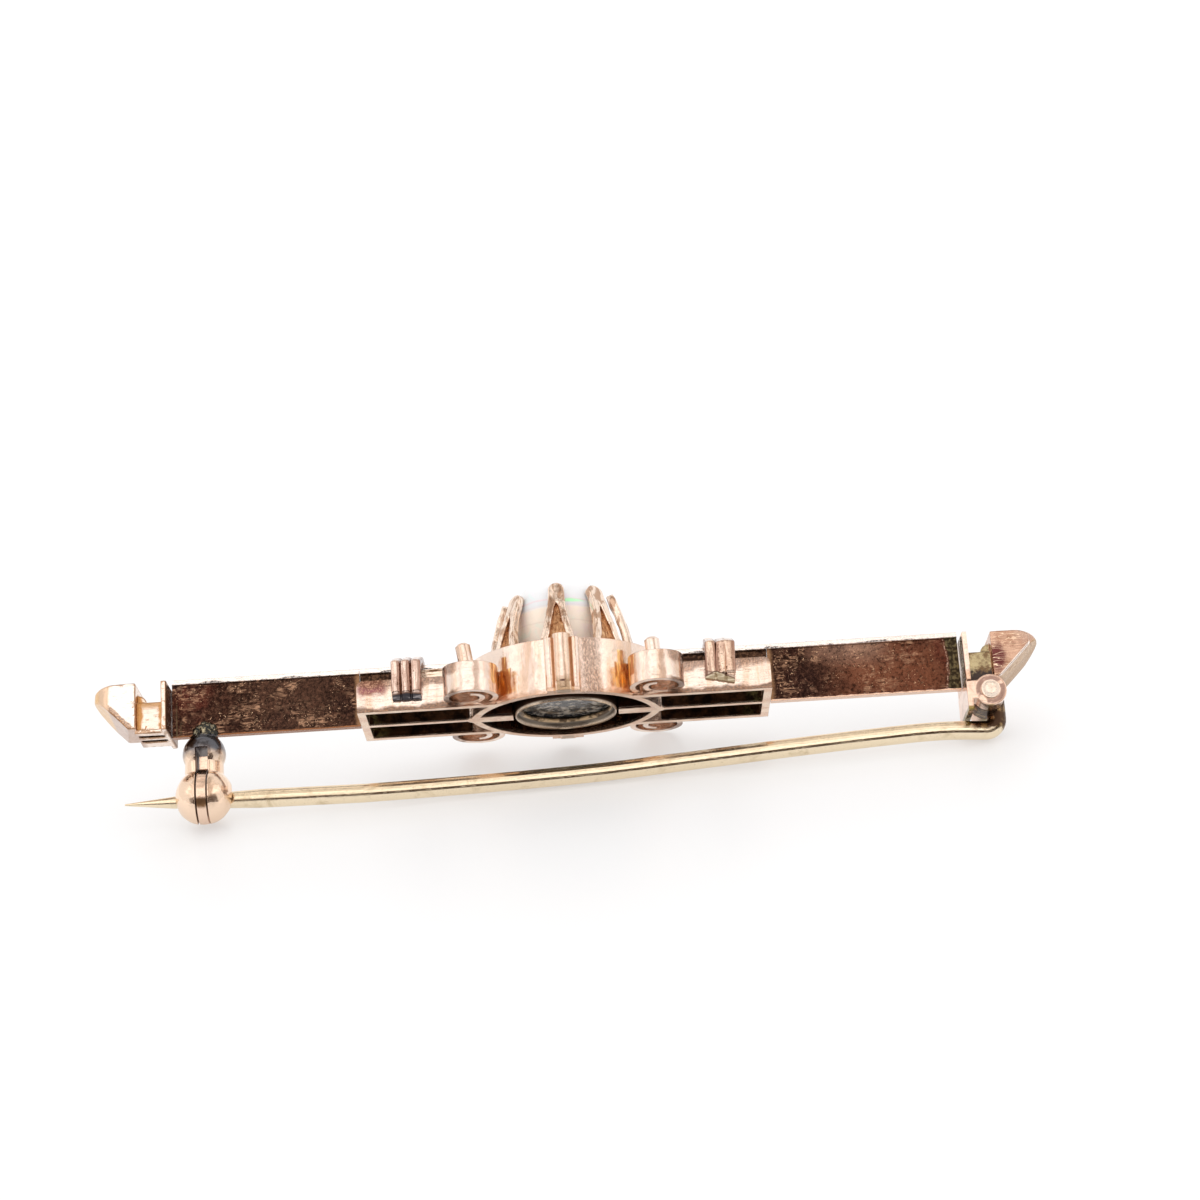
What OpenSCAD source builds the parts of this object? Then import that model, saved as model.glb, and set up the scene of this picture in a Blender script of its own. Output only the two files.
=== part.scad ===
// Bar brooch with a claw-set cabochon, in millimetres.
// Every module is drawn in the jewel's own frame: X runs along the bar with the hinge at +X,
// Z points to the front, and the back plane of the bar is z = 0. at_rest() then lays the
// finished jewel on its back as it comes to rest, with the lowest points at z = 0.

/* [Bar] */
// Distance from the middle of the bar to the inner face of the flange on the catch's side
bar_half = 21.2; // [21:0.1:21.4]
// How much longer the bar is on the hinge's side
right_extra = 0.15; // [0:0.01:0.2]
// Height of the flat bar from its back edge to its cap strip
blade_h = 2.94; // [2.8:0.02:3]
// Thickness of the flat bar
blade_t = 0.45; // [0.35:0.05:0.5]
// Height of the cap strip along the front of the bar
cap_h = 0.26; // [0.15:0.01:0.26]
// Width of the cap strip
cap_w = 0.6; // [0.5:0.05:0.7]

/* [Gallery] */
// Half length of the gallery box
box_half = 11; // [10.5:0.1:11.5]
// Half width of the gallery box
box_hw = 2.7; // [2.6:0.05:2.8]
// Height of the gallery box's walls
box_h = 1.75; // [1.6:0.05:1.9]
// Thickness of the box's long walls
wall_t = 0.38; // [0.3:0.02:0.5]
// Thickness of the box's end walls
end_t = 0.42; // [0.35:0.01:0.5]
// Radius of the rounded front corner of each end wall
end_r = 0.35; // [0.2:0.05:0.45]
// Thickness of the divider that carries the bar through the box
divider_t = 0.3; // [0.25:0.01:0.4]

/* [Centre] */
// Distance from the middle to each point of the eye-shaped wall
eye_tip = 5.15; // [5:0.05:5.3]
// Half width of the eye-shaped wall
eye_hw = 4.2; // [4.2:0.05:4.4]
// Height of the eye-shaped wall
eye_h = 3; // [2.9:0.05:3.1]
// Thickness of the eye-shaped wall
eye_t = 0.35; // [0.25:0.01:0.38]
// Thickness of the web that ties each point to the collet
web_t = 0.85; // [0.6:0.05:1]
// Radius of the large rib in the middle of each side
rib_r = 0.48; // [0.4:0.02:0.5]
// Radius of the two small ribs beside it
side_rib_r = 0.24; // [0.18:0.02:0.26]
// Height at which the large rib ends
rib_top = 3.16; // [3.1:0.02:3.3]

/* [Scrolls] */
// Distance of a scroll's middle from the middle of the bar, along the bar
scroll_x = 4.9; // [4.8:0.05:5]
// Distance of a scroll's middle from the bar's plane
scroll_y = 3.6; // [3.5:0.05:3.7]
// Radius of the first turn of a scroll
scroll_r = 1.45; // [1.4:0.01:1.5]
// Loss of radius at each half turn
scroll_step = 0.35; // [0.3:0.01:0.36]
// Thickness of the scroll's strip
scroll_t = 0.3; // [0.24:0.01:0.32]
// Height at which a scroll starts above the back plane
scroll_back = 0.18; // [0.1:0.02:0.3]
// Height at which a scroll ends
scroll_front = 1.8; // [1.7:0.05:1.9]
// Radius of the peg in a scroll
peg_r = 0.4; // [0.34:0.01:0.42]
// Height of the domed tops of the far pegs
peg_top = 3.05; // [2.9:0.05:3.2]

/* [Ties] */
// Distance of each reeded tie from the middle of the bar
tie_x = 8.3; // [8.1:0.05:8.5]
// Half width of a tie over its outer faces
tie_hw = 3.2; // [3.15:0.05:3.3]
// Height of a tie's back ends above the back plane
tie_back = 0.5; // [0.3:0.02:0.52]
// Height of a tie's legs, where the slopes of its arch start
tie_spring = 2.58; // [2.5:0.02:2.6]
// Height of the arch's crown
tie_crown = 3.53; // [3.53:0.01:3.7]
// Radius of the arch over its crown
tie_arch_r = 4; // [3.6:0.1:4.4]
// Thickness of the band over the bar
tie_band = 0.28; // [0.26:0.01:0.29]

/* [Setting] */
// Outer radius of the collet, the round tube behind the stone
collet_r = 2.81; // [2.75:0.01:2.85]
// Thickness of the collet's wall
collet_t = 0.25; // [0.2:0.01:0.26]
// Radius of the rim plate that the claws stand on
rim_r = 3.79; // [3.7:0.01:3.8]
// Thickness of the rim plate
rim_t = 0.35; // [0.3:0.01:0.4]
// Height of the tips of the tallest claws
claw_top = 6.45; // [6.4:0.05:6.6]
// Thickness of a claw
claw_t = 0.34; // [0.28:0.01:0.36]

/* [Stone] */
// Radius of the stone
stone_r = 2.72; // [2.65:0.01:2.72]
// Height of the stone's girdle, where its dome starts
girdle_z = 5.27; // [5.2:0.01:5.4]
// Height of the stone's back, inside the collet
stone_back = 0.62; // [0.6:0.02:1]

/* [Terminals] */
// Thickness of the flange across the end of the bar
flange_t = 0.3; // [0.28:0.01:0.34]
// Half width of the flange
flange_hw = 1.95; // [1.8:0.05:2]
// Height of the flange
flange_h = 2.73; // [2.6:0.01:3]
// Distance from the middle of the bar to the inner face of each finial
finial_in = 22.95; // [22.8:0.05:23]
// Half width of the finial and of the plate behind the neck
finial_hw = 1.35; // [1.3:0.05:1.4]
// Half width of the neck
neck_hw = 0.95; // [0.9:0.05:1.1]
// Height of the neck
neck_h = 1.85; // [1.7:0.05:1.9]
// Thickness of the plate behind the neck
neck_plate = 0.24; // [0.2:0.02:0.3]
// Length along its sides of the finial on the catch's side
left_l = 1.5; // [1.4:0.05:1.6]
// How far that finial's round end bulges beyond its sides
left_bulge = 0.92; // [0.8:0.02:1]
// Length along its sides of the finial on the hinge's side
right_l = 2.05; // [1.9:0.05:2.1]
// How far that finial's round end bulges beyond its sides
right_bulge = 0.67; // [0.55:0.02:0.8]
// Height of the finial's front
finial_top = 2.85; // [2.7:0.05:2.9]
// Height of the finial's back
finial_back = 0.3; // [0.25:0.05:0.4]
// Where the slanted cut at the finials' back corner would meet the back plane
finial_cut = 0.1; // [0:0.02:0.2]

/* [Hinge] */
// Distance of the rivet from the middle of the bar
rivet_x = 22.6; // [22.55:0.01:22.65]
// Height of the rivet's axis, behind the back plane
rivet_z = -0.6; // [-0.64:0.01:-0.56]
// Radius of the rivet
rivet_r = 0.3; // [0.26:0.01:0.3]
// Radius of the rivet's domed heads
rivet_head_r = 0.5; // [0.44:0.01:0.52]
// Outer radius of the knuckles
knuckle_r = 0.86; // [0.82:0.01:0.87]
// Half width of the hinge over its two fixed knuckles
hinge_hw = 1.9; // [1.85:0.01:1.95]
// Half width of the pin's knuckle
eye_knuckle_hw = 0.75; // [0.7:0.01:0.8]
// Running clearance in the hinge and the catch
running_gap = 0.04; // [0.03:0.01:0.06]
// Depth of the hinge's base plate behind the bar
plate_depth = 1.64; // [1.6:0.01:1.66]

/* [Pin] */
// Radius of the pin's wire
pin_r = 0.51; // [0.49:0.005:0.515]
// Radius of the bend beside the hinge, along the wire's middle
bend_r = 0.62; // [0.58:0.02:0.66]
// Distance of the upright wire from the middle of the bar
arm_x = 23.04; // [23:0.01:23.08]
// Height of the wire where it leaves the bend
stem_start_z = -2.31; // [-2.35:0.01:-2.27]
// Distance from the middle of the bar at which the stem's straight end starts, on the catch's side
straight_x = 11; // [10.5:0.1:11.5]
// Height of the stem there
straight_z = -3.56; // [-3.6:0.01:-3.52]

/* [Catch] */
// Distance of the catch from the middle of the bar
catch_x = 19.5; // [19.4:0.05:19.6]
// Radius of the catch's ball
ball_r = 1.57; // [1.55:0.01:1.6]
// Height of the ball's middle, behind the back plane
ball_z = -3.34; // [-3.4:0.01:-3.3]
// Offset of the catch's bore to the far side
bore_y = 0.4; // [0.36:0.01:0.42]
// Height of the bore's axis
bore_z = -3.44; // [-3.46:0.01:-3.42]
// Outer radius of the turning sleeve's tube
sleeve_r = 0.76; // [0.75:0.01:0.78]
// Inner radius of the turning sleeve
sleeve_bore_r = 0.56; // [0.54:0.01:0.57]
// Depth of the sleeve's disc below the ball's surface
disc_recess = 0.05; // [0.03:0.01:0.1]
// Thickness of the sleeve's disc
disc_t = 0.5; // [0.45:0.01:0.52]
// Width of the slot in the ball for the disc
slot_w = 0.62; // [0.6:0.01:0.64]
// Width of the mouth through which the pin leaves
mouth_w = 1; // [0.98:0.01:1.04]
// Radius of the bulb that joins the ball to the bar
bulb_r = 1.16; // [1.1:0.02:1.18]
// Height of the bulb's middle, behind the back plane
bulb_z = -1; // [-1.05:0.05:-0.95]

/* [Resting pose] */
// Roll about the bar, which turns the front up and away
rest_roll = -40.36; // [-60:0.01:0]
// Pitch that brings the hinge down to the surface
rest_pitch = 2.95; // [-10:0.01:10]
// Shift along the bar that centres the resting jewel
rest_x = -0.26; // [-2:0.001:2]
// Shift across the bar that centres the resting jewel
rest_y = -1.234; // [-5:0.001:5]
// Lift that brings the lowest points to the surface
rest_z = 3.3274; // [0:0.0001:8]

/* [Hidden] */

// Sides of most circles, and of the large ones
$fn = 96;
fine = 180;
// Gap between two pieces that are soldered to each other
seam = 0.03;
// Overlap that lets the shapes of one piece merge
merge = 0.05;
// Longer than any piece, for cuts
through = 60;

// Inside of the eye-shaped wall
eye_inner_tip = eye_tip - 1.25 * eye_t;
eye_inner_hw = eye_hw - eye_t;
// How far the small ribs of a pilaster lap into the large one
rib_lap = 0.04;
// Stepped foot of a pilaster: half width, depth and top of its plate and of the step on it
WIDE = 0;
DEEP = 1;
TOP = 2;
FOOT = [[0.86, 0.3, 0.2], [0.42, 0.44, 0.48]];

// Sweep of a scroll's outer turn, and the lap of one turn on the next
scroll_sweep = 218;
turn_lap = 0.01;
// Place and shape of the peg in a scroll
peg_shift = 0.12;
peg_foot = 1;
peg_dome_h = 0.12;
peg_dome_r = 0.27;
// The two near pegs: lean away from the middle, and height of the top
LEAN = 0;
PEG_TOP = 1;
CATCH_PEG = [9, 3.14];
HINGE_PEG = [-4, 2.84];

// Ribs across a tie: start and end, from the tie's middle
RIB_START = 0;
RIB_END = 1;
TIE_RIBS = [[-0.78, -0.35], [-0.25, 0.18], [0.28, 0.78]];
tie_groove = 0.13;
tie_bevel = 0.44;
// Shift and lean of the tie on the hinge's side
right_tie_shift = 0.1;
right_tie_lean = 2.4;
// Angle of the arch's slopes, and the step of angle along its round crown
tie_slope = 20;
tie_step = 4;

// Rim plate, ledge and claws of the setting
rim_z = 2.62;
rim_top = rim_z + rim_t;
ledge_z = 0.3;
ledge_h = 0.26;
ledge_w = 0.3;
claw_foot_r = 3.77;
claw_tip_r = 2.75;
claw_sunk = 0.2;
// Thickness of the web between a claw's legs, on the side of the stone
claw_web = 0.12;
// Half outline of a claw: share of its height, and half widths over and between its two legs
SHARE = 0;
OUTER = 1;
INNER = 2;
CLAW = [[0, 0.95, 0.66], [0.14, 0.77, 0.46], [0.3, 0.62, 0.3], [0.45, 0.53, 0.17], [0.58, 0.48, 0.08],
        [0.7, 0.45, 0]];
claw_head = CLAW[len(CLAW) - 1][OUTER];
// The hand-set claws: angle round the stone, and how much lower and further out each tip is
ANGLE = 0;
LOWER = 1;
OUTWARDS = 2;
CLAWS = [[-2, 0, 0], [43, 0.06, 0], [88, 0, 0], [134, 0.1, 0.04], [178, 0.3, 0.2], [-142, 0.19, 0.04],
         [-92.5, 0, 0], [-49.5, 0.02, 0]];
// Gap between the stone and the collet round it
stone_gap = 0.06;

// The two terminals: inner face of the flange, length and bulge of the finial, radius of its front
// edge, and the angle by which its slanted cut drifts outwards on the far side
right_end = bar_half + right_extra;
BAR_END = 0;
SIDE_L = 1;
BULGE = 2;
CORNER = 3;
DRIFT = 4;
LEFT = [bar_half, left_l, left_bulge, 0.45, 6];
RIGHT = [right_end, right_l, right_bulge, 0.62, 8];
slot_wide = 0.48;
slot_apart = 0.42;
slot_shift = -0.17;
slot_top = 1;
slot_end = 0.08;
round_r = 0.5;
round_inset = 0.3;

// Hinge: the bore round the rivet, the reach of the bent wire as it swings, the ears' height below
// the rivet, and the rivet's heads
pin_bore_r = rivet_r + running_gap;
swing_r = arm_x - rivet_x + pin_r;
ear_drop = 0.45;
head_rim = 0.14;
head_dome = 0.12;
head_dome_r = 0.3;

// Course of the pin's stem from the bend to its straight end: distance along the bar, height
bend_z = stem_start_z + bend_r;
STEM = [[arm_x - bend_r, stem_start_z], [20, -2.18], [17, -2.28], [12.4, -2.54], [7, -2.9], [0, -3.32],
        [-straight_x, straight_z]];
// The straight end: distance from its start and radius of the wire
ROD = [[0, pin_r], [5.6, pin_r], [10.2, 0.33], [12.85, 0.05]];
ALONG = 0;
RADIUS = 1;
// The swept wire is this much thinner than the straight end, and reaches this far into it
wire_inset = 0.005;
wire_lap = 0.15;
wire_sides = 24;
stem_steps = 4;
bend_steps = 8;
// Angle by which the stem drifts to the far side, and the slope of its straight end
drift = atan(bore_y / (arm_x + catch_x));
rise = atan((bore_z - straight_z) * cos(drift) / (catch_x - straight_x));

// Catch: the waist between ball and bulb, the foot on the bar, the lumps of solder and the tab
waist_r = 1.04;
waist_in = 0.5;
foot_r = 0.66;
foot_h = 0.35;
PLACE = 0;
SIZE = 1;
SOLDER = [[[0.1, -0.3, 0.3], 0.42], [[0.45, -0.25, 0.2], 0.32]];
slit_top = -0.85;
tube_inset = 0.55;
tab_y = 0.15;
tab_w = 0.5;
tab_foot = 1;
tab_h = 1.3;

module at_rest() {
    translate([rest_x, rest_y, rest_z]) rotate([rest_roll, 0, 0]) rotate([0, rest_pitch, 0]) children();
}

module centred_box(size, z0) {
    translate([-size[0] / 2, -size[1] / 2, z0]) cube(size);
}

// Flat blade with its cap strip, from x0 to x1
module blade(x0, x1, t) {
    translate([x0, -t / 2, 0]) cube([x1 - x0, t, blade_h]);
    translate([x0, -cap_w / 2, blade_h - merge]) cube([x1 - x0, cap_w, cap_h + merge]);
}

module bar_left() {
    color("sandybrown") at_rest() mirror([1, 0, 0]) blade(box_half + seam, bar_half - seam, blade_t);
}

module bar_right() {
    color("sandybrown") at_rest() blade(box_half + seam, right_end - seam, blade_t);
}

// Plan of a pointed oval
module lens(tip, half_width) {
    r = (tip * tip + half_width * half_width) / (2 * half_width);
    intersection() {
        translate([0, half_width - r]) circle(r, $fn = fine);
        translate([0, r - half_width]) circle(r, $fn = fine);
    }
}

// Side view of the box, with rounded front corners
module box_side() {
    translate([-box_half, 0]) square([2 * box_half, box_h - end_r]);
    translate([end_r - box_half, box_h - 2 * end_r]) square([2 * (box_half - end_r), 2 * end_r]);
    for (side = [-1, 1]) translate([side * (box_half - end_r), box_h - end_r]) circle(end_r);
}

module box_walls() {
    difference() {
        translate([0, box_hw, 0]) rotate([90, 0, 0]) linear_extrude(2 * box_hw) box_side();
        centred_box([2 * (box_half - end_t), 2 * (box_hw - wall_t), through], -through / 2);
    }
}

module eye_wall() {
    linear_extrude(eye_h) difference() {
        lens(eye_tip, eye_hw);
        lens(eye_inner_tip, eye_inner_hw);
    }
}

module eye_space() {
    translate([0, 0, -1]) linear_extrude(eye_h + 2) lens(eye_inner_tip, eye_inner_hw);
}

// Divider in the box, and the thicker web from the eye's point to the collet
module dividers() {
    blade(eye_tip - eye_t, box_half, divider_t);
    translate([collet_r + seam, -web_t / 2, 0]) cube([eye_tip - eye_t - collet_r, web_t, rim_z - seam]);
    translate([eye_tip - 0.25, 0, 0]) cylinder(h = eye_h, r = web_t / 2);
}

module pilaster() {
    translate([0, eye_hw, scroll_back]) cylinder(h = rib_top - scroll_back, r = rib_r);
    for (side = [-1, 1])
        translate([side * (rib_r + side_rib_r - rib_lap), eye_hw - rib_lap, scroll_back])
            cylinder(h = eye_h - scroll_back, r = side_rib_r);
    for (step = FOOT)
        translate([-step[WIDE], eye_hw - eye_t, 0]) cube([2 * step[WIDE], eye_t + step[DEEP], step[TOP]]);
}

module turn(r, from, sweep) {
    rotate([0, 0, from])
        rotate_extrude(angle = sweep, $fn = fine)
            translate([r - scroll_t, 0]) square([scroll_t, scroll_front - scroll_back]);
}

// Flat strip rolled inwards from the eye's wall, with a domed peg in its middle
module scroll(peg) {
    translate([scroll_x, scroll_y, scroll_back]) {
        turn(scroll_r, -turn_lap, scroll_sweep);
        translate([scroll_step, 0, 0]) turn(scroll_r - scroll_step, 180, 180 + turn_lap);
        turn(scroll_r - 2 * scroll_step, 90, 90);
    }
    translate([scroll_x, scroll_y + peg_shift, peg_foot]) rotate([0, peg[LEAN], 0]) {
        cylinder(h = peg[PEG_TOP] - peg_dome_h - peg_foot, r = peg_r);
        translate([0, 0, peg[PEG_TOP] - peg_foot - peg_dome_h - merge])
            cylinder(h = peg_dome_h + merge, r1 = peg_r, r2 = peg_dome_r);
    }
}

module gallery_frame() {
    color("sandybrown") at_rest() {
        difference() {
            union() {
                box_walls();
                for (y = [0, 1]) mirror([0, y, 0]) pilaster();
            }
            eye_space();
        }
        eye_wall();
        for (x = [0, 1]) mirror([x, 0, 0]) {
            dividers();
            scroll([0, peg_top]);
            mirror([0, 1, 0]) scroll(x == 1 ? CATCH_PEG : HINGE_PEG);
        }
    }
}

// Outline of a tie's arch, lowered by drop: a round crown that runs into two slopes
module tie_arch(drop) {
    crown = [for (a = [-tie_slope : tie_step : tie_slope])
                 [tie_arch_r * sin(a), tie_crown - tie_arch_r * (1 - cos(a))]];
    translate([0, -drop])
        polygon(concat([[-tie_hw, 0], [-tie_hw, tie_spring]], crown, [[tie_hw, tie_spring], [tie_hw, 0]]));
}

// Side view of a tie: two legs and an arch over the bar
module tie_profile(drop) {
    difference() {
        intersection() {
            translate([drop - tie_hw, tie_back]) square([2 * (tie_hw - drop), tie_crown]);
            tie_arch(drop);
        }
        intersection() {
            translate([-box_hw - seam, -1]) square([2 * (box_hw + seam), tie_crown + 1]);
            tie_arch(tie_band);
        }
        for (side = [-1, 1])
            translate([side * (tie_hw - drop), tie_back]) rotate(45) square(tie_bevel, center = true);
    }
}

module tie_slice(x0, x1, drop) {
    translate([x0, 0, 0]) rotate([90, 0, 90]) linear_extrude(x1 - x0) tie_profile(drop);
}

module tie() {
    first = TIE_RIBS[0][RIB_START];
    last = TIE_RIBS[len(TIE_RIBS) - 1][RIB_END];
    tie_slice(first + turn_lap, last - turn_lap, tie_groove);
    for (rib = TIE_RIBS) tie_slice(rib[RIB_START], rib[RIB_END], 0);
}

module tie_left() {
    color("sandybrown") at_rest() translate([-tie_x, 0, 0]) tie();
}

module tie_right() {
    color("sandybrown") at_rest()
        translate([tie_x + right_tie_shift, 0, tie_crown])
            rotate([0, right_tie_lean, 0])
                translate([0, 0, -tie_crown]) mirror([1, 0, 0]) tie();
}

// Outline of the web that fills the gap between a claw's legs, for a claw of the given length
module web_outline(length) {
    edge = [for (row = CLAW) [(row[OUTER] + row[INNER]) / 2, row[SHARE] * length]];
    for (side = [0, 1])
        mirror([side, 0])
            polygon(concat([[-merge, -claw_sunk], [edge[0][0], -claw_sunk]], edge,
                           [[-merge, CLAW[len(CLAW) - 1][SHARE] * length]]));
}

// Outline of a split claw: two flaring legs that meet in a broad head with a round tip
module claw_outline(length) {
    foot = CLAW[0];
    outer = [for (row = CLAW) [row[OUTER], row[SHARE] * length]];
    inner = [for (i = [len(CLAW) - 1 : -1 : 0]) [CLAW[i][INNER], CLAW[i][SHARE] * length]];
    for (side = [0, 1])
        mirror([side, 0])
            polygon(concat([[foot[INNER], -claw_sunk], [foot[OUTER], -claw_sunk]], outer,
                           [[claw_head, length - claw_head], [-merge, length - claw_head],
                            [-merge, CLAW[len(CLAW) - 1][SHARE] * length]], inner));
    translate([0, length - claw_head]) circle(claw_head, $fn = 48);
}

module claw(row) {
    rise = claw_top - row[LOWER] - rim_top;
    reach = claw_foot_r - claw_tip_r - row[OUTWARDS];
    length = norm([rise, reach]);
    rotate([0, 0, row[ANGLE]])
        translate([claw_foot_r, 0, rim_top])
            rotate([0, -atan(reach / rise), 0])
                rotate([90, 0, 90])
                    translate([0, 0, -claw_t / 2]) {
                        linear_extrude(claw_t) claw_outline(length);
                        linear_extrude(claw_web) web_outline(length);
                    }
}

// Room for the eye-shaped wall round the rim plate, which the claws' feet stand over
module eye_wall_room() {
    difference() {
        cylinder(h = eye_h + seam, r = through);
        cylinder(h = through, r = rim_r);
    }
}

module claw_setting() {
    color("peru") at_rest() {
        difference() {
            union() {
                cylinder(h = rim_top, r = collet_r);
                translate([0, 0, rim_z]) cylinder(h = rim_t, r = rim_r);
            }
            translate([0, 0, -1]) cylinder(h = through, r = collet_r - collet_t);
        }
        translate([0, 0, ledge_z]) difference() {
            cylinder(h = ledge_h, r = collet_r - merge);
            translate([0, 0, -1]) cylinder(h = through, r = collet_r - collet_t - ledge_w);
        }
        difference() {
            for (row = CLAWS) claw(row);
            translate([0, 0, rim_z - through]) cylinder(h = through, r = through);
            eye_wall_room();
        }
    }
}

module opal() {
    inside_r = collet_r - collet_t - stone_gap;
    color("aliceblue") at_rest() {
        translate([0, 0, stone_back]) cylinder(h = girdle_z - stone_back, r = inside_r);
        translate([0, 0, rim_top + seam]) cylinder(h = girdle_z - rim_top - seam, r = stone_r);
        intersection() {
            translate([0, 0, girdle_z]) sphere(stone_r);
            translate([0, 0, girdle_z - merge]) cylinder(h = through, r = stone_r);
        }
    }
}

// Plan of a finial: straight sides and a bulging end
module finial_plan(side) {
    end_x = finial_in + side[SIDE_L];
    r = (finial_hw * finial_hw + side[BULGE] * side[BULGE]) / (2 * side[BULGE]);
    translate([finial_in, -finial_hw]) square([side[SIDE_L], 2 * finial_hw]);
    intersection() {
        translate([end_x + side[BULGE] - r, 0]) circle(r, $fn = fine);
        translate([end_x - merge, -finial_hw]) square([through, 2 * finial_hw]);
    }
}

// Upright disc with a rounded front edge, and a block from it to the finial's inner face
module finial_front(side) {
    r = finial_hw + side[CORNER];
    disc_x = finial_in + side[SIDE_L] + side[BULGE] - r;
    translate([finial_in, -finial_hw, finial_back])
        cube([disc_x - finial_in, 2 * finial_hw, finial_top - finial_back]);
    translate([disc_x, 0, finial_back]) rotate_extrude($fn = fine) {
        square([r, finial_top - side[CORNER] - finial_back]);
        square([finial_hw, finial_top - finial_back]);
        translate([finial_hw, finial_top - side[CORNER] - finial_back]) circle(side[CORNER]);
    }
}

// Everything outside the slanted cut at a finial's back corner
module finial_corner(side) {
    translate([finial_in + finial_cut, -finial_hw, 0])
        rotate([0, 45, 0])
            rotate([0, 0, -side[DRIFT]])
                translate([0, -through / 2, -through / 2]) cube(through);
}

module finial(side) {
    difference() {
        intersection() {
            linear_extrude(through) finial_plan(side);
            finial_front(side);
        }
        finial_corner(side);
    }
}

// Neck with two slots in its back, between flange and finial
module neck(side) {
    from = side[BAR_END] + flange_t;
    difference() {
        union() {
            translate([from - merge, -neck_hw, 0]) cube([finial_in - from + 2 * merge, 2 * neck_hw, neck_h]);
            translate([from - merge, -finial_hw, 0])
                cube([finial_in - from + 2 * merge, 2 * finial_hw, neck_plate]);
        }
        for (way = [-1, 1])
            translate([from, way * slot_apart + slot_shift - slot_wide / 2, slot_top - through])
                cube([finial_in - from - slot_end, slot_wide, through]);
    }
}

module quarter_round() {
    intersection() {
        translate([finial_in, neck_hw - round_inset, neck_h])
            rotate([90, 0, 0]) cylinder(h = 2 * (neck_hw - round_inset), r = round_r);
        translate([finial_in - 2 * round_r, -neck_hw, neck_h - merge])
            cube([2 * round_r + merge, 2 * neck_hw, 2 * round_r]);
    }
}

module terminal(side) {
    translate([side[BAR_END], -flange_hw, 0]) cube([flange_t, 2 * flange_hw, flange_h]);
    neck(side);
    quarter_round();
    finial(side);
}

module terminal_left() {
    color("sandybrown") at_rest() mirror([1, 0, 0]) terminal(LEFT);
}

module terminal_right() {
    color("sandybrown") at_rest() difference() {
        terminal(RIGHT);
        rivet_round(-through / 2, through / 2, knuckle_r + seam);
        rivet_round(-eye_knuckle_hw - running_gap, eye_knuckle_hw + running_gap, swing_r + 2 * running_gap);
    }
}

// A tube or a disc along Y, round the rivet's axis
module rivet_round(y0, y1, r) {
    translate([rivet_x, y1, rivet_z]) rotate([90, 0, 0]) cylinder(h = y1 - y0, r = r);
}

module hinge_bracket() {
    inner = eye_knuckle_hw + running_gap;
    color("sandybrown") at_rest() difference() {
        union() {
            translate([right_end, -hinge_hw, -plate_depth])
                cube([flange_t, 2 * hinge_hw, plate_depth - seam]);
            for (y = [0, 1]) mirror([0, y, 0]) {
                rivet_round(inner, hinge_hw, knuckle_r);
                translate([right_end + merge, inner, rivet_z - ear_drop])
                    cube([rivet_x - right_end - merge, hinge_hw - inner, ear_drop - rivet_z - seam]);
            }
        }
        rivet_round(-through / 2, through / 2, pin_bore_r);
    }
}

module hinge_rivet() {
    under_head = hinge_hw + seam;
    color("tan") at_rest() {
        rivet_round(-under_head - merge, under_head + merge, rivet_r);
        for (y = [0, 1]) mirror([0, y, 0]) {
            rivet_round(under_head, under_head + head_rim, rivet_head_r);
            translate([rivet_x, under_head + head_rim - merge, rivet_z])
                rotate([-90, 0, 0])
                    cylinder(h = head_dome + merge, r1 = rivet_head_r - turn_lap, r2 = head_dome_r);
        }
    }
}

function unit(v) = v / norm(v);

// A point of the stem at the distance x along the bar, in the plane that drifts to the far side
function on_stem(x, z) = [x, (arm_x - x) * tan(drift), z];

// Smooth curve between b and c at t from 0 to 1, with a before b and d after c
function smooth(a, b, c, d, t) =
    0.5 * (2 * b + t * (c - a) + t * t * (2 * a - 5 * b + 4 * c - d)
           + t * t * t * (3 * b - 3 * c + d - a));

// Middle of the swept wire, from inside the knuckle, round the bend and along the bowed stem
function wire_course() =
    let (last = len(STEM) - 1,
         after = [-catch_x, bore_z],
         bend = [for (k = [0 : bend_steps - 1]) let (a = 90 * k / bend_steps)
                     on_stem(arm_x - bend_r * (1 - cos(a)), bend_z - bend_r * sin(a))],
         bow = [for (i = [0 : last - 1]) for (k = [0 : stem_steps - 1])
                    let (row = smooth(STEM[max(i - 1, 0)], STEM[i], STEM[i + 1],
                                      i + 2 > last ? after : STEM[i + 2], k / stem_steps))
                        on_stem(row[0], row[1])],
         lap = [on_stem(-straight_x, straight_z),
                on_stem(-straight_x - wire_lap, straight_z + wire_lap * tan(rise))])
    concat([on_stem(arm_x, rivet_z - 2 * merge)], bend, bow, lap);

// Round wire along the points of a path, with rings of corners joined by flat sides
module sweep_wire(path, r) {
    last = len(path) - 1;
    sideways = [sin(drift), cos(drift), 0];
    corners = [for (i = [0 : last])
                   let (way = unit(path[min(i + 1, last)] - path[max(i - 1, 0)]))
                       for (k = [0 : wire_sides - 1])
                           let (a = 360 * k / wire_sides)
                               path[i] + r * (cos(a) * sideways + sin(a) * cross(way, sideways))];
    start = [for (k = [0 : wire_sides - 1]) k];
    end = [for (k = [wire_sides - 1 : -1 : 0]) last * wire_sides + k];
    walls = [for (i = [0 : last - 1]) for (k = [0 : wire_sides - 1])
                 let (next = (k + 1) % wire_sides, here = i * wire_sides, there = here + wire_sides)
                     [here + next, here + k, there + k, there + next]];
    polyhedron(corners, concat([start], [end], walls));
}

// Straight end of the stem, with its long taper and its point
module rod() {
    outline = [for (row = ROD) [row[RADIUS], row[ALONG]]];
    translate(on_stem(-straight_x, straight_z))
        rotate([0, 90 - rise, 180 - drift])
            rotate_extrude() polygon(concat([[0, 0]], outline, [[0, ROD[len(ROD) - 1][ALONG]]]));
}

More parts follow.
